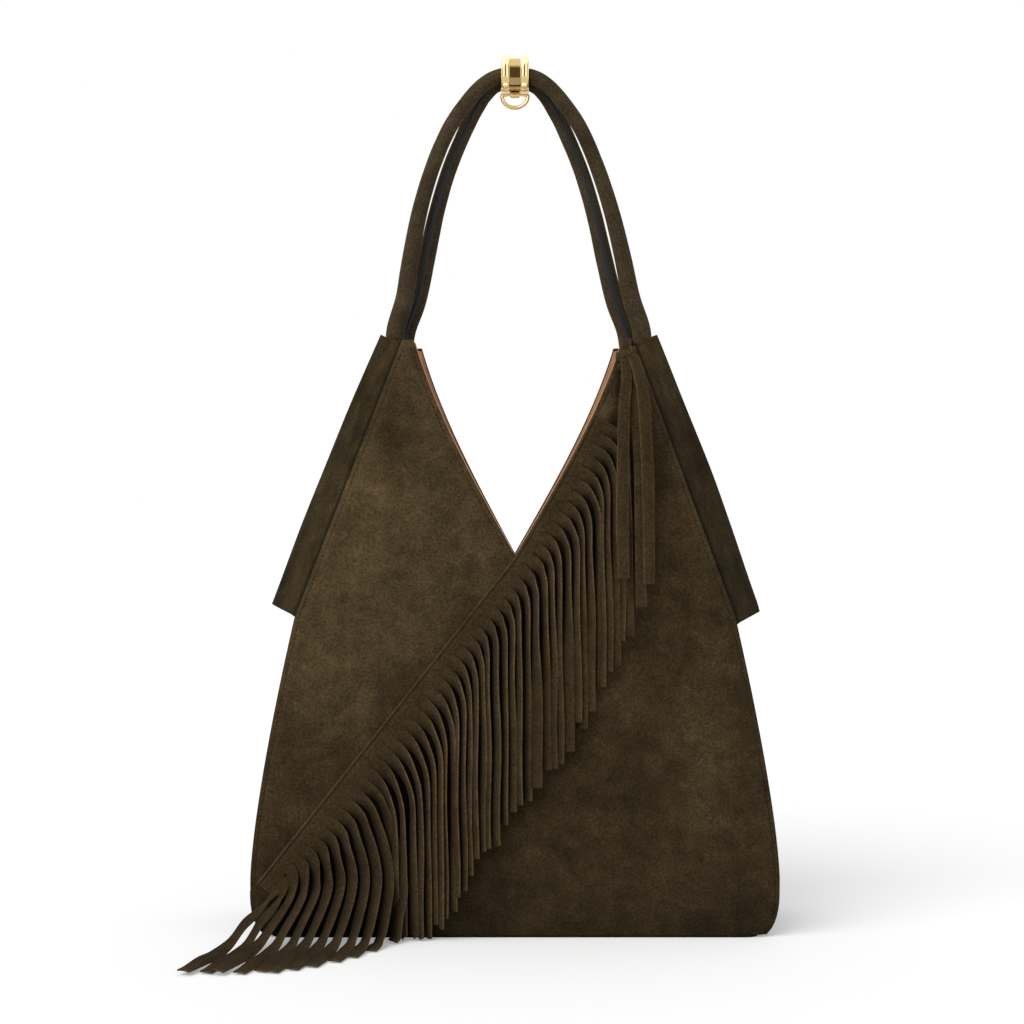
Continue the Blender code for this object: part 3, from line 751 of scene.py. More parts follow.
def stitch_row(name, surface, up, pitch=STITCH_PITCH, length=STITCH_L, width=STITCH_W):
    """Stitches an even pitch apart along a list of surface points."""
    verts, faces = [], []
    for _, point, ahead in walk(surface, pitch):
        stitch_mesh(verts, faces, point, ahead, up, length, width, STITCH_H)
    row = add_object(name, verts, faces, [THREAD_MAT], sharp=80)


def on_panel(x, z, side, lift=flat_lift):
    return Vector((x, side * (half_depth(x, z, side) + lift(x, z) - STITCH_SUNK), z))


def build_stitching():
    """Rows beside the side seams and the neck edges; across is -1 on the left, face -1 at the front."""
    front, back = Vector((0, -1, 0)), Vector((0, 1, 0))
    top = BODY_H - 0.006
    heights = [lerp(0.040, top, i / 160) for i in range(161)]
    low = [lerp(0.012, top, i / 160) for i in range(161)]
    neck_h = [lerp(NECK_TIP_H + 0.006, top, i / 80) for i in range(81)]

    def by_side(across, face, places):
        return [on_panel(across * (half_width(z, across) - EDGE_STITCH), z, face) for z in places]

    def by_neck(across, face, share, lift=flat_lift, above=0.0):
        heights = [z for z in neck_h if z > above]
        places = [neck(z, across) * share + EDGE_STITCH / neck_slope(z, across) for z in heights]
        return [on_panel(across * x, z, face, lift) for x, z in zip(places, heights)]

    rows = {
        "stitch_left_edge": (by_side(-1, -1, heights), front),
        "stitch_right_edge": (by_side(1, -1, low), front),
        "stitch_neck_left": (by_neck(-1, -1, 1.0), front),
        "stitch_neck_right": (by_neck(1, -1, 1.0, seam_lift, FRINGE_TOP_H + 0.004), front),
        "stitch_back_left": (by_side(-1, 1, low), back),
        "stitch_back_right": (by_side(1, 1, low), back),
        "stitch_back_neck_left": (by_neck(-1, 1, BACK_NECK_SHARE), back),
        "stitch_back_neck_right": (by_neck(1, 1, BACK_NECK_SHARE), back),
    }
    for name, (surface, up) in rows.items():
        stitch_row(name, surface, up)


def build_wing_stitching(name, side, rows):
    """Two hem rows along the top of a wing, on its front and its back half."""
    for inset, row_name in HEM_ROWS:
        for half, half_name in ((-1, "front"), (1, "back")):
            top = rows[-1]
            z = top[0] - inset
            row = (z, top[1], top[2], True)
            points = [side_point(side, row, half * lerp(0.93, 0.10, i / 20)) for i in range(21)]
            up = Vector((side * 0.6, half * 0.8, 0))
            points = [p + up.normalized() * 0.00005 for p in points]
            stitch_row(f"{name}_{half_name}_{row_name}", points, up)


# Fringe
def seam_stations():
    """A function of travel down the right neck edge and the diagonal seam, and the number of strips."""
    path = []
    for z in levels(NECK_TIP_H, FRINGE_TOP_H, (), 0.004)[::-1]:
        path.append(Vector((neck(z, 1), 0, z)))
    steps = 60
    low = SEAM_END_H + 0.004
    for i in range(1, steps + 1):
        z = lerp(NECK_TIP_H, low, i / steps)
        path.append(Vector((seam_x(z), 0, z)))
    lengths = [0.0]
    for a, b in zip(path, path[1:]):
        lengths.append(lengths[-1] + (b - a).length)

    def at(s):
        s = clamp(s, 0.0, lengths[-1] - 1e-6)
        k = next(i for i in range(1, len(lengths)) if lengths[i] > s)
        return path[k - 1].lerp(path[k], (s - lengths[k - 1]) / (lengths[k] - lengths[k - 1]))

    def heading(s):
        return (at(s + 0.008) - at(s - 0.008)).normalized()

    return at, heading, int(lengths[-1] / STRIP_PITCH)


def on_front(x, z, off):
    return -(half_depth(x, z) + seam_lift(x, z) + FRINGE_EASE + off)


def downhill(direction):
    """The in-plane direction square to the seam that points to the lower right."""
    side = Vector((-direction.z, 0, direction.x))
    return side if side.x > 0 else -side


def spare_length(height):
    """0 for a strip that just reaches the floor, 1 for the lowest one, which lies down the most."""
    return (LIE_FROM_H - height) / (LIE_FROM_H - SEAM_END_H)


def lying_width(ahead, flat):
    """Width direction of a strip that leans forward and lies down: its face looks up and to the front."""
    side = Vector((-ahead.y, ahead.x, 0))
    if side.length < 1e-4:
        side = Vector((1, -0.4, 0))
    side.normalize()
    if side.x < 0:
        side = -side
    tilt = LIE_TILT * (1 - 0.8 * flat)
    on_floor = Vector((0, 0, math.cos(tilt))) + side * math.sin(tilt)
    normal = on_floor.lerp(LIE_FACE, smooth(abs(ahead.z) / 0.55))
    normal -= ahead * normal.dot(ahead)
    wide = normal.cross(ahead).normalized()
    return wide if wide.x > 0 else -wide


def lying_path(start, perp, habit):
    """A low strip: out from the seam, over, and down to the floor in front, swept to the left."""
    spare = clamp(spare_length(start.z))
    drop = lerp(*LIE_DROP, spare)
    reach = lerp(*LIE_REACH, spare ** 1.1)
    over = Vector((start.x + reach, 0, max(start.z - drop, 0.017)))
    over.y = on_front(over.x, over.z, STRIP_STAND + habit["stand"])
    tip = Vector((start.x + lerp(*LIE_SWEEP, spare) + habit["aim"], 0, 0.001))
    tip.y = over.y - LIE_FORWARD * (1 - (1 - spare) ** 3.4) + habit["aim"]
    low = over.lerp(tip, BEND_AT)
    low.z = BEND_H + habit["aim"] * 0.6
    land = over.lerp(tip, LAND_AT)
    land.z = LAND_H
    near = start + perp * (0.0045 + 0.42 * max(reach, 0.0))
    near.y = on_front(near.x, near.z, 0.0016)
    points = [start, near]
    if reach > 0.006:
        points.append(near + perp * (0.30 * reach) + Vector((0, 0, -0.10 * drop)))
        points[-1].y = on_front(points[-1].x, points[-1].z, 0.0036)
    points.append(over)
    if over.z > 0.050:
        points.append(Vector((lerp(over.x, low.x, 0.25) + habit["wave"] * 0.05, over.y,
                              lerp(over.z, low.z, 0.5))))
    return spline(points + [low, land, tip], 30)


def strip_trail(start, perp, length, habit):
    """Points close together down the middle of a strip, each with its travel and how far it lies."""
    if spare_length(start.z) > 0:
        path = lying_path(start, perp, habit)
        trail = [(path[0], 0.0, 0.0)]
        for gone, p, _ in walk(path, TRAIL_STEP):
            rise = smooth(gone / LIFT_OFF)
            stand = SUEDE_T / 2 + (STRIP_STAND + habit["stand"]) * rise
            p.y = lerp(on_front(p.x, p.z, stand), p.y, rise)
            trail.append((p, gone, smooth((gone - 0.014) / 0.034)))
        return trail
    down = Vector((0, 0, -1))
    fall = STRIP_FALL * habit["fall"] * habit["drop"]
    point = start.copy()
    trail = [(point.copy(), 0.0, 0.0)]
    travelled = 0.0
    while travelled < length - 1e-9:
        step = min(TRAIL_STEP, length - travelled)
        travelled += step
        turn = smooth(travelled / fall)
        wave = habit["wave"] * math.cos(travelled * 62 + habit["phase"]) * smooth(travelled / 0.06)
        move = (perp * (1 - turn) + down * turn + Vector((wave, 0, 0))).normalized()
        point = point + move * step
        stand = STRIP_STAND + habit["stand"] * smooth(travelled / 0.09)
        stand = SUEDE_T / 2 + stand * smooth(travelled / LIFT_OFF)
        point.z = max(point.z, 0.002)
        point.y = on_front(point.x, point.z, stand)
        trail.append((point.copy(), travelled, 0.0))
    return trail


def fall_share(share):
    """Strips near the neck drop sooner than those low on the diagonal seam."""
    return lerp(lerp(0.66, 0.48, smooth((share - 0.12) / 0.14)), 1.0, smooth((share - 0.40) / 0.26))


def strip_turn(travelled, share, habit):
    """How far a strip has turned from edge-on towards facing the front."""
    low = lerp(FACING_NECK, FACING_MID, smooth((share - 0.22) / 0.18))
    low = lerp(low, FACING_FLOOR, smooth((share - 0.62) / 0.2)) + habit["turn"]
    return lerp(EDGE_ON, low, smooth((travelled - 0.045) / 0.065))


def lift_clear(point, wide, half):
    """Keeps both edges of a lying strip above the floor."""
    return Vector((point.x, point.y, max(point.z, abs(wide.z) * half + SUEDE_T / 2 + 0.0004)))


def flat_ring(verts, shades, centre, wide, normal, section, shade):
    """Adds one section of a flat strip and returns its points in order.

    The section gives the place across, half the thickness there and how far the middle stands out.
    """
    first, n = len(verts), len(section)
    for v in (1, -1):
        verts.extend(centre + wide * away + normal * (v * half_t + out) for away, half_t, out in section)
        shades.extend(shade)
    return [first + k for k in range(n)] + [first + n + k for k in reversed(range(n))]


def skin_strip(faces, mats, rings, start_mat=1):
    """Faces of a flat strip; its long edges and its ends get the second material, that of lighter cut suede
    brightened as a painted highlight.
    """
    n = len(rings[0])
    faces.append(tuple(rings[0]))
    mats.append(start_mat)
    for ring, new in zip(rings, rings[1:]):
        for k in range(n):
            j = (k + 1) % n
            faces.append((ring[k], ring[j], new[j], new[k]))
            mats.append(1 if k in (n // 2 - 1, n - 1) else 0)
    faces.append(tuple(rings[-1]))
    mats.append(1)


def strip_shade(u, wide, ahead, travelled, draped):
    """Painted light along a strip's front edge and painted shade that darkens it towards the edge that is
    turned away.
    """
    facing = max(clamp(abs(wide.x) * 1.1 - 0.22) ** 1.9, 0.8 * draped * (1 - abs(ahead.z)))
    away = lerp(AWAY_SHADE, FACING_SHADE, facing)
    shade = lerp(away, LIT_SHADE, ((u + 1) / 2) ** lerp(1.9, 1.1, facing))
    return lerp(1.0, shade, smooth((travelled - 0.003) / 0.020))


def build_strip(verts, faces, mats, shades, start, across, width, share, habit, length):
    perp = downhill(across)
    trail = strip_trail(start, perp, length, habit)
    middle = [p for p, _, _ in trail]
    length = trail[-1][1]
    stops = [TRAIL_STEP * 0.3, TRAIL_STEP]
    while stops[-1] + SECTION_STEP < length:
        stops.append(stops[-1] + SECTION_STEP)
    stops.append(length)
    rings = []
    for travel in stops:
        k = min(round(travel / TRAIL_STEP), len(trail) - 1)
        centre, travelled, draped = trail[k]
        ahead = ahead_at(middle, k)
        turn = strip_turn(travelled, share, habit)
        turned_by = smooth((travelled - 0.002) / (0.034 * habit["drop"]))
        wide = across.lerp(Vector((math.sin(turn), -math.cos(turn), 0)), turned_by)
        wide = wide.lerp(lying_width(ahead, smooth((travelled / length - 0.78) / 0.20)), draped)
        wide = (wide - ahead * wide.dot(ahead)).normalized()
        centre = lift_clear(centre, wide, width) + Vector((0, 0, habit["layer"] * draped))
        normal = ahead.cross(wide).normalized()
        cup = STRIP_CUP * smooth(travelled / 0.03) * (1 - 0.5 * draped) * habit["cup"]
        section = [(u * width, SUEDE_T / 2 * (0.75 if abs(u) > 0.9 else 1.0), cup * (1 - u * u))
                   for u in STRIP_ACROSS]
        # Painted light and shade across each section of the strip
        shade = [strip_shade(u, wide, ahead, travelled, draped) for u in STRIP_ACROSS]
        ring = flat_ring(verts, shades, centre, wide, normal, section, shade)
        for order, k in enumerate(ring):
            verts[k].z = max(verts[k].z, 0.0004 if order < len(section) else 0.0008)
        rings.append(ring)
    skin_strip(faces, mats, rings, 0)


def strip_habit(rng, share):
    """Small ways in which one strip hangs differently from the next."""
    facing = 0.0
    stand = rng.uniform(-0.0012, 0.0016)
    if 0.25 < share < 0.66 and rng.random() < 0.16:
        facing = math.radians(34)
        stand = 0.0030
    spread = 16 if share < 0.3 else 8
    return {
        "turn": facing + math.radians(rng.uniform(-spread, spread)),
        "stand": stand,
        "wave": rng.uniform(0.01, 0.045) * rng.choice((-1, 1)),
        "phase": rng.uniform(0, 6.28),
        "fall": rng.uniform(0.92, 1.08),
        "drop": fall_share(share),
        "aim": rng.uniform(-0.003, 0.003),
        "cup": rng.uniform(0.6, 1.25),
        "layer": 0.0,
    }


def build_fringe():
    rng = random.Random(FRINGE_SEED)
    at, heading, count = seam_stations()
    verts, faces, mats, shades = [], [], [], []
    profile = ((0, 0.0003), (0.0003, 0.0011), (0.0008, SUEDE_T + 0.0002), (0.0015, SUEDE_T),
               (0.0021, SUEDE_T - 0.0004), (0.0027, SUEDE_T), (BAND_W * 0.6, SUEDE_T), (BAND_W, SUEDE_T),
               (BAND_W, 0), (0, 0))
    n = len(profile)
    lip, under_lip = n - 3, n - 2
    rows = []
    for i in range(count):
        left, right = i * STRIP_PITCH + STRIP_SLIT / 2, (i + 1) * STRIP_PITCH - STRIP_SLIT / 2
        for s in (left, (i + 0.5) * STRIP_PITCH, right):
            rows.append(len(verts))
            for away, off in profile:
                q = at(s) + downhill(heading(s)) * (BAND_EDGE + away)
                verts.append(Vector((q.x, on_front(q.x, q.z, off), q.z)))
    for a, b in zip(rows, rows[1:]):
        for k in range(n):
            j = (k + 1) % n
            faces.append((a + k, a + j, b + j, b + k))
            mats.append(1 if k in (0, n - 1) else 0)
    for row in (rows[0], rows[-1]):
        faces.append(tuple(row + k for k in range(n)))
        mats.append(1)
    for i in range(count):
        a = rows[3 * i]
        b = rows[3 * i + 2]
        share = i / (count - 1)
        start = (verts[a + lip] + verts[a + under_lip] + verts[b + lip] + verts[b + under_lip]) / 4
        tau = heading((i + 0.5) * STRIP_PITCH)
        width = (verts[a + lip] - verts[b + lip]).length / 2
        start = start - downhill(tau) * STRIP_TUCK
        length = STRIP_L + rng.uniform(*STRIP_SPREAD)
        shades += [1.0] * (len(verts) - len(shades))
        habit = strip_habit(rng, share)
        if i >= count - LAYERED_STRIPS:
            habit["layer"] = LAYER_STEP * (i % 2)
        build_strip(verts, faces, mats, shades, start, -tau, width, share, habit, length)
    obj = add_object("cut_fringe", verts, faces, [SHADED_FRINGE_MAT, CUT_EDGE_AND_HIGHLIGHT_MAT], mats, 55, shades=shades)
    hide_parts("fringe")
    seam = []
    for i in range(int(count * STRIP_PITCH / TRAIL_STEP)):
        s = (i + 0.5) * TRAIL_STEP
        q = at(s) + downhill(heading(s)) * (BAND_EDGE + 0.0021)
        seam.append(Vector((q.x, on_front(q.x, q.z, SUEDE_T - 0.0003), q.z)))
    stitch_row("stitch_fringe_band", seam, Vector((0, -1, 0)), SEAM_PITCH, *BAND_STITCH)


# Handles
def spline(points, steps):
    ends = [points[0] * 2 - points[1]] + points + [points[-1] * 2 - points[-2]]
    out = []
    for i in range(1, len(ends) - 2):
        p0, p1, p2, p3 = ends[i - 1:i + 3]
        for k in range(steps):
            t = k / steps
            out.append(0.5 * (2 * p1 + (p2 - p0) * t + (2 * p0 - 5 * p1 + 4 * p2 - p3) * t * t
                              + (3 * p1 - p0 - 3 * p2 + p3) * t ** 3))
    out.append(points[-1])
    return out


def ahead_at(path, i):
    return (path[min(i + 1, len(path) - 1)] - path[max(i - 1, 0)]).normalized()


def sweep_frames(path, frame_side):
    """Place, side and up direction at each point of a path."""
    out = []
    for i, p in enumerate(path):
        ahead = ahead_at(path, i)
        side = (frame_side - ahead * frame_side.dot(ahead)).normalized()
        out.append((p, side, ahead.cross(side)))
    return out


def skin(rings, closed=False):
    verts = [v for ring in rings for v in ring]
    n = len(rings[0])
    faces = []
    last = len(rings) if closed else len(rings) - 1
    for r in range(last):
        base, nxt = r * n, (r + 1) % len(rings) * n
        for k in range(n):
            faces.append((base + k, base + (k + 1) % n, nxt + (k + 1) % n, nxt + k))
    if not closed:
        faces.append(tuple(range(n)))
        faces.append(tuple(range((len(rings) - 1) * n, len(rings) * n)))
    return verts, faces


FRONT_SHAPE = ((0.04, 1.010), (0.17, 0.955), (0.33, 0.890), (0.50, 0.805), (0.66, 0.692),
               (0.80, 0.556), (0.90, 0.404), (0.966, 0.264))
BACK_SHAPE = ((0.04, 0.985), (0.17, 0.905), (0.33, 0.815), (0.50, 0.725), (0.66, 0.612),
              (0.80, 0.475), (0.90, 0.356), (0.968, 0.244))
RIDGE_SPREAD = math.radians(13)
STITCH_ROUND = RIDGE_SPREAD * 3.1


def handle_path(apex_h, shape, foot_left, foot_right, inward):
    rise = apex_h - BODY_H
    sides = []
    for foot, sign in ((foot_left, -1), (foot_right, 1)):
        points = [Vector((sign * (foot + FOOT_FLARE), -inward * FOOT_Y, BODY_H - FOOT_DEPTH))]
        for up, out in shape:
            x = lerp(foot, (foot_left + foot_right) / 2, smooth(up * 1.4)) * out
            x += FOOT_FLARE * (1 - smooth(up / 0.15))
            y = lerp(FOOT_Y, APEX_Y, smooth(up))
            points.append(Vector((sign * x, -inward * y, BODY_H + rise * up)))
        points.append(Vector((sign * KEEPER_W * 0.56, -inward * APEX_Y, apex_h - 0.0007)))
        sides.append(points)
    return spline(sides[0] + [Vector((0, -inward * APEX_Y, apex_h))] + sides[1][::-1], 9)


def around(frame, inward, a, r):
    p, side, up = frame
    return p + side * (inward * r * math.cos(a)) + up * (r * math.sin(a))


def build_handle(name, node, apex_h, shape, foot_left, foot_right, inward):
    path = handle_path(apex_h, shape, foot_left, foot_right, inward)
    frames = sweep_frames(path, Vector((0, 1, 0)))
    count = 26
    rings, stitches = [], []
    first, last = RIDGE_SPREAD * 1.2, 2 * math.pi - RIDGE_SPREAD * 1.2
    for i, frame_at in enumerate(frames):
        share = i / (len(frames) - 1)
        near_foot = smooth((abs(share - 0.5) - 0.22) / 0.24)
        radius = lerp(HANDLE_R, HANDLE_FOOT_R, near_foot)
        radius += 0.00016 * wander(share * 36, inward * 5.0, 0)
        ring = [around(frame_at, inward, RIDGE_SPREAD * k, radius + RIDGE_H) for k in (-0.8, -0.3, 0.3, 0.8)]
        ring += [around(frame_at, inward, lerp(first, last, k / (count - 1)), radius) for k in range(count)]
        rings.append(ring)
        if 0.05 < share < 0.95 and abs(frame_at[0].x) > KEEPER_W * 0.6:
            stitches.append(around(frame_at, inward, STITCH_ROUND, radius))
    verts, faces = skin(rings)
    n = count + 4
    mats = [1 if k % n in (0, 1, 2, 3, n - 1) else 0 for k in range(len(faces) - 2)] + [0, 0]
    obj = add_object(name, verts, faces, [HANDLE_MAT, PAINT_MAT], mats, 60)
    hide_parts(node)
    middle = len(stitches) // 2
    for part, points in (("left", stitches[:middle]), ("right", stitches[middle:])):
        stitch_row(f"stitch_{node}_{part}", points, Vector((0, inward, 0)))


# Keeper and ring
def loop_point(a, half_y, low, high, power):
    """A rounded rectangle about the X axis, in Y and Z."""
    c, s = math.cos(a), math.sin(a)
    y = half_y * math.copysign(abs(c) ** (2 / power), c)
    z = (low + high) / 2 + (high - low) / 2 * math.copysign(abs(s) ** (2 / power), s)
    return y, z


def rail_height(share):
    """Proud height of the keeper across its width: two round rails with a sunk band between."""
    rail = 0.34
    width = 0.155
    away = (abs(share) - rail) / width
    if abs(away) < 1:
        return RAIL_H * math.sqrt(1 - away * away)
    return -0.0006 if abs(share) < rail else -0.0002


def build_keeper():
    open_y = APEX_Y + HANDLE_R + 2 * GAP
    open_low = BACK_APEX_H - HANDLE_R - 4 * GAP
    open_high = FRONT_APEX_H + HANDLE_R + 2 * GAP
    crown = FRONT_APEX_H + KEEPER_CROWN
    count = 72
    angles = [2 * math.pi * (k + 0.5) / count for k in range(count)]
    steps = 56
    shares = [-0.5 + i / steps for i in range(steps + 1)]
    outer, inner = [], []
    for share in shares:
        x = KEEPER_W * share
        g = rail_height(share)
        wall = (open_y + KEEPER_WALL + g, open_low - KEEPER_WALL - g * 0.2, crown + g, 3.4)
        outer.append([Vector((x, *loop_point(a, *wall))) for a in angles])
        inner.append([Vector((x, *loop_point(a, open_y, open_low, open_high, 5))) for a in angles])
    verts, faces = skin(outer + inner[::-1], closed=True)
    # The sunk centre band takes the darker gold, a painted shade
    mats = []
    for r in range(len(outer) * 2):
        centre = r < steps and abs(shares[r] + 0.5 / steps) < SUNK_HALF
        mats += [1 if centre else 0] * count
    keeper = add_object("gold_keeper", verts, faces, [GOLD_MAT, SHADOWED_GOLD_MAT], mats, 50)
    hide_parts("keeper")
    front = -(open_y + KEEPER_WALL)
    axis_h = open_low - KEEPER_WALL - RING_R - 2 * GAP
    lug_h = open_low - 0.0002
    for sign, name in ((-1, "left"), (1, "right")):
        lug = ball(f"keeper_lug_{name}", Vector((sign * LUG_X, front + 0.0004, lug_h)), LUG_SIZE)
    knuckle = barrel("keeper_knuckle", axis_h)
    return axis_h


def ball(name, centre, size):
    mesh = bpy.data.meshes.new(name)
    bm = bmesh.new()
    bmesh.ops.create_uvsphere(bm, u_segments=28, v_segments=16, radius=1.0)
    for v in bm.verts:
        v.co = centre + Vector((v.co.x * size.x, v.co.y * size.y, v.co.z * size.z))
    bm.to_mesh(mesh)
    bm.free()
    mesh.materials.append(GOLD_MAT)
    mesh.shade_smooth()
    obj = place(name, mesh)
    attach(obj, "bag")
    return obj


def barrel(name, axis_h):
    """The knuckle that the ring's pin runs through, with rounded ends."""
    end = ((0.0036, 0.0014), (0.0036, 0.0019), (0.0033, 0.0023), (0.0028, 0.0024))
    profile = [(-x, r) for x, r in end] + list(end[::-1])
    turns = [2 * math.pi * k / 28 for k in range(28)]
    verts, faces = skin([[Vector((x, r * math.cos(t), axis_h + r * math.sin(t))) for t in turns]
                         for x, r in profile])
    return add_object(name, verts, faces, [GOLD_MAT], None, 40)


def build_ring(axis_h):
    """The D-ring: a straight pin along X, and a bow that hangs from its ends."""
    points = [(-PIN_HALF, 0.0), (0.0, 0.0), (PIN_HALF, 0.0)]
    centre_z = -(RING_DROP - RING_HALF) - 0.001
    start, sweep, steps = 28, 236, 40
    for k in range(steps + 1):
        a = math.radians(start - sweep * k / steps)
        points.append((RING_HALF * math.cos(a), min(centre_z + (RING_HALF - 0.001) * math.sin(a), -0.0004)))
    path = [Vector((x, 0, z)) for x, z in points]
    rings = []
    count = len(path)
    for i, p in enumerate(path):
        ahead = (path[(i + 1) % count] - path[i - 1]).normalized()
        side = Vector((0, 1, 0))
        up = ahead.cross(side)
        r = PIN_R if i < 3 else lerp(PIN_R * 1.1, RING_R, smooth((min(i - 3, count - 1 - i)) / 6))
        rings.append([p + Vector((0, 0, axis_h)) + side * r * math.cos(t) + up * r * math.sin(t)
                      for t in (2 * math.pi * k / 18 for k in range(18))])
    verts, faces = skin(rings, closed=True)
    ring = add_object("gold_ring", verts, faces, [GOLD_MAT], None, 60, "ring")
    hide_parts("keeper_ring")


# Tie
def at_share(values, share):
    k = share * (len(values) - 1)
    j = min(int(k), len(values) - 2)
    return lerp(values[j], values[j + 1], k - j)


def ribbon(verts, faces, mats, shades, points, widths, twists):
    """A flat thong along a path; twists turn its width about the path, in degrees."""
    frames = sweep_frames(spline([Vector(p) for p in points], 7), Vector((1, 0.12, 0)))
    rings = []
    for i, (p, side, up) in enumerate(frames):
        share = i / (len(frames) - 1)
        half = at_share(widths, share) / 2
        turn = math.radians(at_share(twists, share))
        wide = side * math.cos(turn) + up * math.sin(turn)
        normal = up * math.cos(turn) - side * math.sin(turn)
        section = [(u * half, TIE_T / 2 * (0.8 if abs(u) > 0.9 else 1), 0.0005 * (1 - u * u))
                   for u in THONG_ACROSS]
        rings.append(flat_ring(verts, shades, p, wide, normal, section, THONG_SHADES))
    skin_strip(faces, mats, rings)


def loop_band(verts, faces, mats, shades, points):
    """A thong wrapped round an upright axis, its width standing along Z."""
    path = spline(points, 3)
    section = [(u * WRAP_W / 2, TIE_T / 2, 0.0007 * u * u) for u in WRAP_ACROSS]
    rings = []
    for i, p in enumerate(path):
        ahead = ahead_at(path, i)
        wide = (Vector((0, 0, 1)) - ahead * ahead.z).normalized()
        rings.append(flat_ring(verts, shades, p, wide, ahead.cross(wide), section, WRAP_SHADES))
    skin_strip(faces, mats, rings)


def build_tie():
    knot_x = (NECK_RIGHT + PEAK_RIGHT) / 2 - KNOT_LEFT
    front = -half_depth(knot_x, BODY_H - 0.012)
    over = BODY_H + TIE_OVER

    def hang(x, drop, off):
        z = BODY_H - drop
        return (x, -half_depth(clamp(x, 0, half_width(z, 1)), z) - off, z)

    # From the knot, then down the front as x, drop and distance from the panel; widths; turns
    tails = (
        (((0, 0.016, -0.002), (0, -0.001, -0.002), (-0.0004, -0.006, -0.013)),
         ((0.0797, 0.032, 0.0150), (0.0781, 0.047, 0.0165), (0.0772, 0.073, 0.0172), (0.0766, 0.103, 0.0175),
          (0.0763, 0.138, 0.0178), (0.0770, 0.172, 0.0180)),
         (0.006, 0.0085, 0.0075, 0.0078, 0.0085, 0.0085, 0.009, 0.009, 0.008), (0, 0, 8, 14, 6, -8, -4, 6)),
        (((0.003, -0.0052, -0.018),),
         ((0.0845, 0.036, 0.0130), (0.0870, 0.063, 0.0140), (0.0888, 0.098, 0.0143), (0.0890, 0.143, 0.0146),
          (0.0895, 0.192, 0.0146)),
         (0.006, 0.0075, 0.008, 0.0075), (30, 30, 18, 6, 14)),
        (((0.001, -0.0060, -0.010), (0.0065, -0.0092, -0.018)),
         ((0.0893, 0.030, 0.0165), (0.0920, 0.045, 0.0170), (0.0942, 0.088, 0.0178), (0.0948, 0.128, 0.0182),
          (0.0950, 0.176, 0.0182)),
         (0.0075, 0.0085, 0.009, 0.009, 0.008), (0, -12, -16, -8, 6, 2)))
    verts, faces, mats, shades = [], [], [], []
    for at_knot, below, widths, twists in tails:
        points = [(knot_x + x, front + y, over + z) for x, y, z in at_knot] + [hang(*p) for p in below]
        ribbon(verts, faces, mats, shades, points, widths, twists)
    knot = Vector((knot_x, front - 0.0048, BODY_H - KNOT_DROP))
    for start, turns, reach, rise, squeeze in ((0.0, 1.15, 0.0066, 0.0016, 1),
                                               (2.2, 0.8, 0.0058, -0.0036, 0.9)):
        points = []
        for k in range(13):
            a = start + turns * 2 * math.pi * k / 12
            tilt = 0.45 * (k / 12 - 0.5)
            points.append(knot + Vector((reach * math.cos(a), -0.0036 * math.sin(a) * squeeze,
                                         rise + 0.006 * tilt + 0.0016 * math.cos(a))))
        loop_band(verts, faces, mats, shades, points)
    core = len(verts)
    wide, deep, high = KNOT_SIZE
    sides, tall = 16, 8
    for r in range(tall + 1):
        b = math.pi * (r / tall - 0.5)
        for k in range(sides):
            a = 2 * math.pi * k / sides
            verts.append(knot + Vector((wide * math.cos(a) * math.cos(b),
                                        deep * math.sin(a) * math.cos(b), high * math.sin(b))))
    # Painted shadow: the knot's core is darkened
    shades += [0.3] * (len(verts) - core)
    for r in range(tall):
        for k in range(sides):
            a, b = core + r * sides + k, core + r * sides + (k + 1) % sides
            faces.append((a, b, b + sides, a + sides))
            mats.append(0)
    obj = add_object("knotted_tie", verts, faces, [SHADED_FRINGE_MAT, CUT_EDGE_AND_HIGHLIGHT_MAT], mats, 55, shades=shades)
    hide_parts("tie")


# Stage
def background(nodes, strength):
    node = nodes.new("ShaderNodeBackground")
    return set_inputs(node, {"Color": (1, 1, 1, 1), "Strength": strength})


def build_floor():
    """A pale floor that glows a little for the camera alone, so that it fades into the white room."""
    h = FLOOR_HALF
    mesh = bpy.data.meshes.new("floor")
    mesh.from_pydata([(-h, -h, 0), (h, -h, 0), (h, h, 0), (-h, h, 0)], [], [(0, 1, 2, 3)])
    mat = bpy.data.materials.new("pale_floor")
    mat.use_nodes = True
    nodes, links = mat.node_tree.nodes, mat.node_tree.links
    nodes.clear()
    out = nodes.new("ShaderNodeOutputMaterial")
    diffuse = set_inputs(nodes.new("ShaderNodeBsdfDiffuse"), {"Color": (*grey(FLOOR_GREY), 1)})
    glow = nodes.new("ShaderNodeEmission")
    path = nodes.new("ShaderNodeLightPath")
    level = nodes.new("ShaderNodeMath")
    level.operation = "MULTIPLY"
    level.inputs[1].default_value = FLOOR_GLOW
    total = nodes.new("ShaderNodeAddShader")
    links.new(path.outputs["Is Camera Ray"], level.inputs[0])
    links.new(level.outputs["Value"], glow.inputs["Strength"])
    links.new(diffuse.outputs["BSDF"], total.inputs[0])
    links.new(glow.outputs["Emission"], total.inputs[1])
    links.new(total.outputs["Shader"], out.inputs["Surface"])
    mesh.materials.append(mat)
    place("floor", mesh)


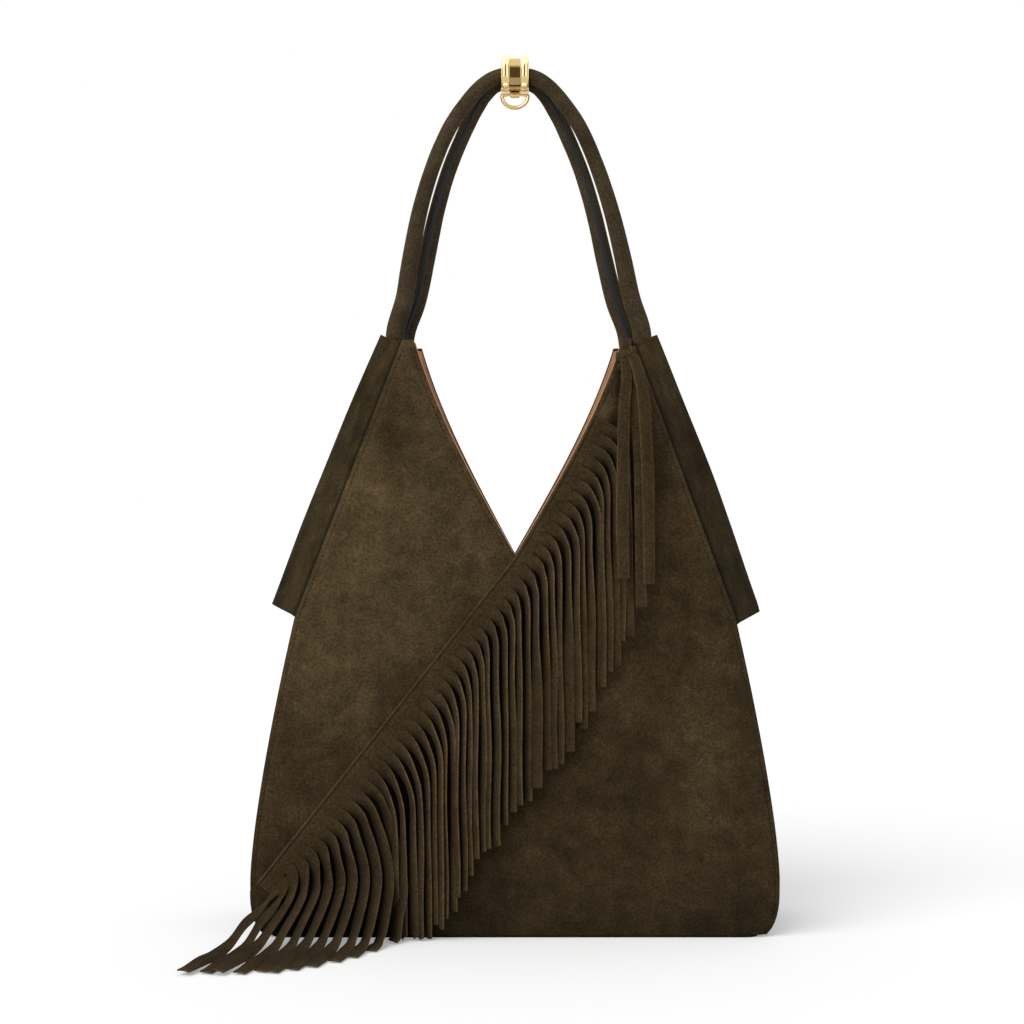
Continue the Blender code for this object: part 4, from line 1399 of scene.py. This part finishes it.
def build_world():
    """A white room. Metal sees dark and light bands across it, and a bright sky."""
    world = bpy.data.worlds.new("studio")
    bpy.context.scene.world = world
    world.use_nodes = True
    nodes, links = world.node_tree.nodes, world.node_tree.links
    nodes.clear()
    out = nodes.new("ShaderNodeOutputWorld")
    path = nodes.new("ShaderNodeLightPath")
    room = background(nodes, ROOM_LIGHT)
    white = background(nodes, 1.0)
    mirror = background(nodes, MIRROR_LIGHT)
    coords = nodes.new("ShaderNodeTexCoord")
    split = nodes.new("ShaderNodeSeparateXYZ")
    links.new(coords.outputs["Generated"], split.inputs["Vector"])
    shift = set_inputs(nodes.new("ShaderNodeMapRange"), {"From Min": -1.0})
    links.new(split.outputs["X"], shift.inputs["Value"])
    edge, dark = (0.08, 0.07, 0.05), (0.10, 0.08, 0.06)
    bands = add_ramp(nodes, links, shift.outputs["Result"],
                     ((0.0, grey(1)), (0.13, edge), (0.24, (1.0, 1.0, 0.98)), (0.39, grey(1)), (0.45, dark),
                      (0.55, dark), (0.62, grey(1)), (0.75, grey(1)), (0.87, edge), (1.0, grey(1))))
    sky = add_ramp(nodes, links, split.outputs["Z"], ((0.30, grey(0)), (0.52, grey(1))))
    links.new(add_mix(nodes, links, "LIGHTEN", bands, sky), mirror.inputs["Color"])
    seen = room
    for ray, other in (("Is Glossy Ray", mirror), ("Is Camera Ray", white)):
        mix = nodes.new("ShaderNodeMixShader")
        links.new(path.outputs[ray], mix.inputs["Fac"])
        links.new(seen.outputs[0], mix.inputs[1])
        links.new(other.outputs[0], mix.inputs[2])
        seen = mix
    links.new(seen.outputs[0], out.inputs["Surface"])


def build_light():
    data = bpy.data.lights.new("key", "SUN")
    data.energy = SUN_POWER
    data.angle = SUN_SPREAD
    place("key", data).rotation_euler = TO_LIGHT.to_track_quat("Z", "Y").to_euler()


def build_camera():
    data = bpy.data.cameras.new("camera")
    data.lens = CAMERA_LENS
    data.sensor_width = 36
    camera = place("camera", data)
    camera.location = CAMERA_AT
    camera.rotation_euler = (math.radians(90), 0, 0)
    bpy.context.scene.camera = camera


def main():
    build_camera()
    build_floor()
    build_world()
    build_light()
    build_shell()
    build_linings()
    for name, node, side, top in (("wing_left", "side_left", -1, WING_TOP_LEFT),
                                  ("wing_right", "side_right", 1, WING_TOP_RIGHT)):
        rows = build_side(name, node, side, top)
        build_wing_stitching(f"stitch_{name}", side, rows)
    build_stitching()
    build_fringe()
    build_handle("rolled_handle_front", "handle_front", FRONT_APEX_H, FRONT_SHAPE,
                 FRONT_FOOT_LEFT, FRONT_FOOT_RIGHT, 1)
    build_handle("rolled_handle_back", "handle_back", BACK_APEX_H, BACK_SHAPE,
                 BACK_FOOT_LEFT, BACK_FOOT_RIGHT, -1)
    axis_h = build_keeper()
    build_ring(axis_h)
    build_tie()
    base = frame["nodes"]["base_panel"]
    base.data.materials.clear()
    base.data.materials.append(SUEDE_MAT)
    bpy.context.scene.view_settings.view_transform = "Standard"


main()
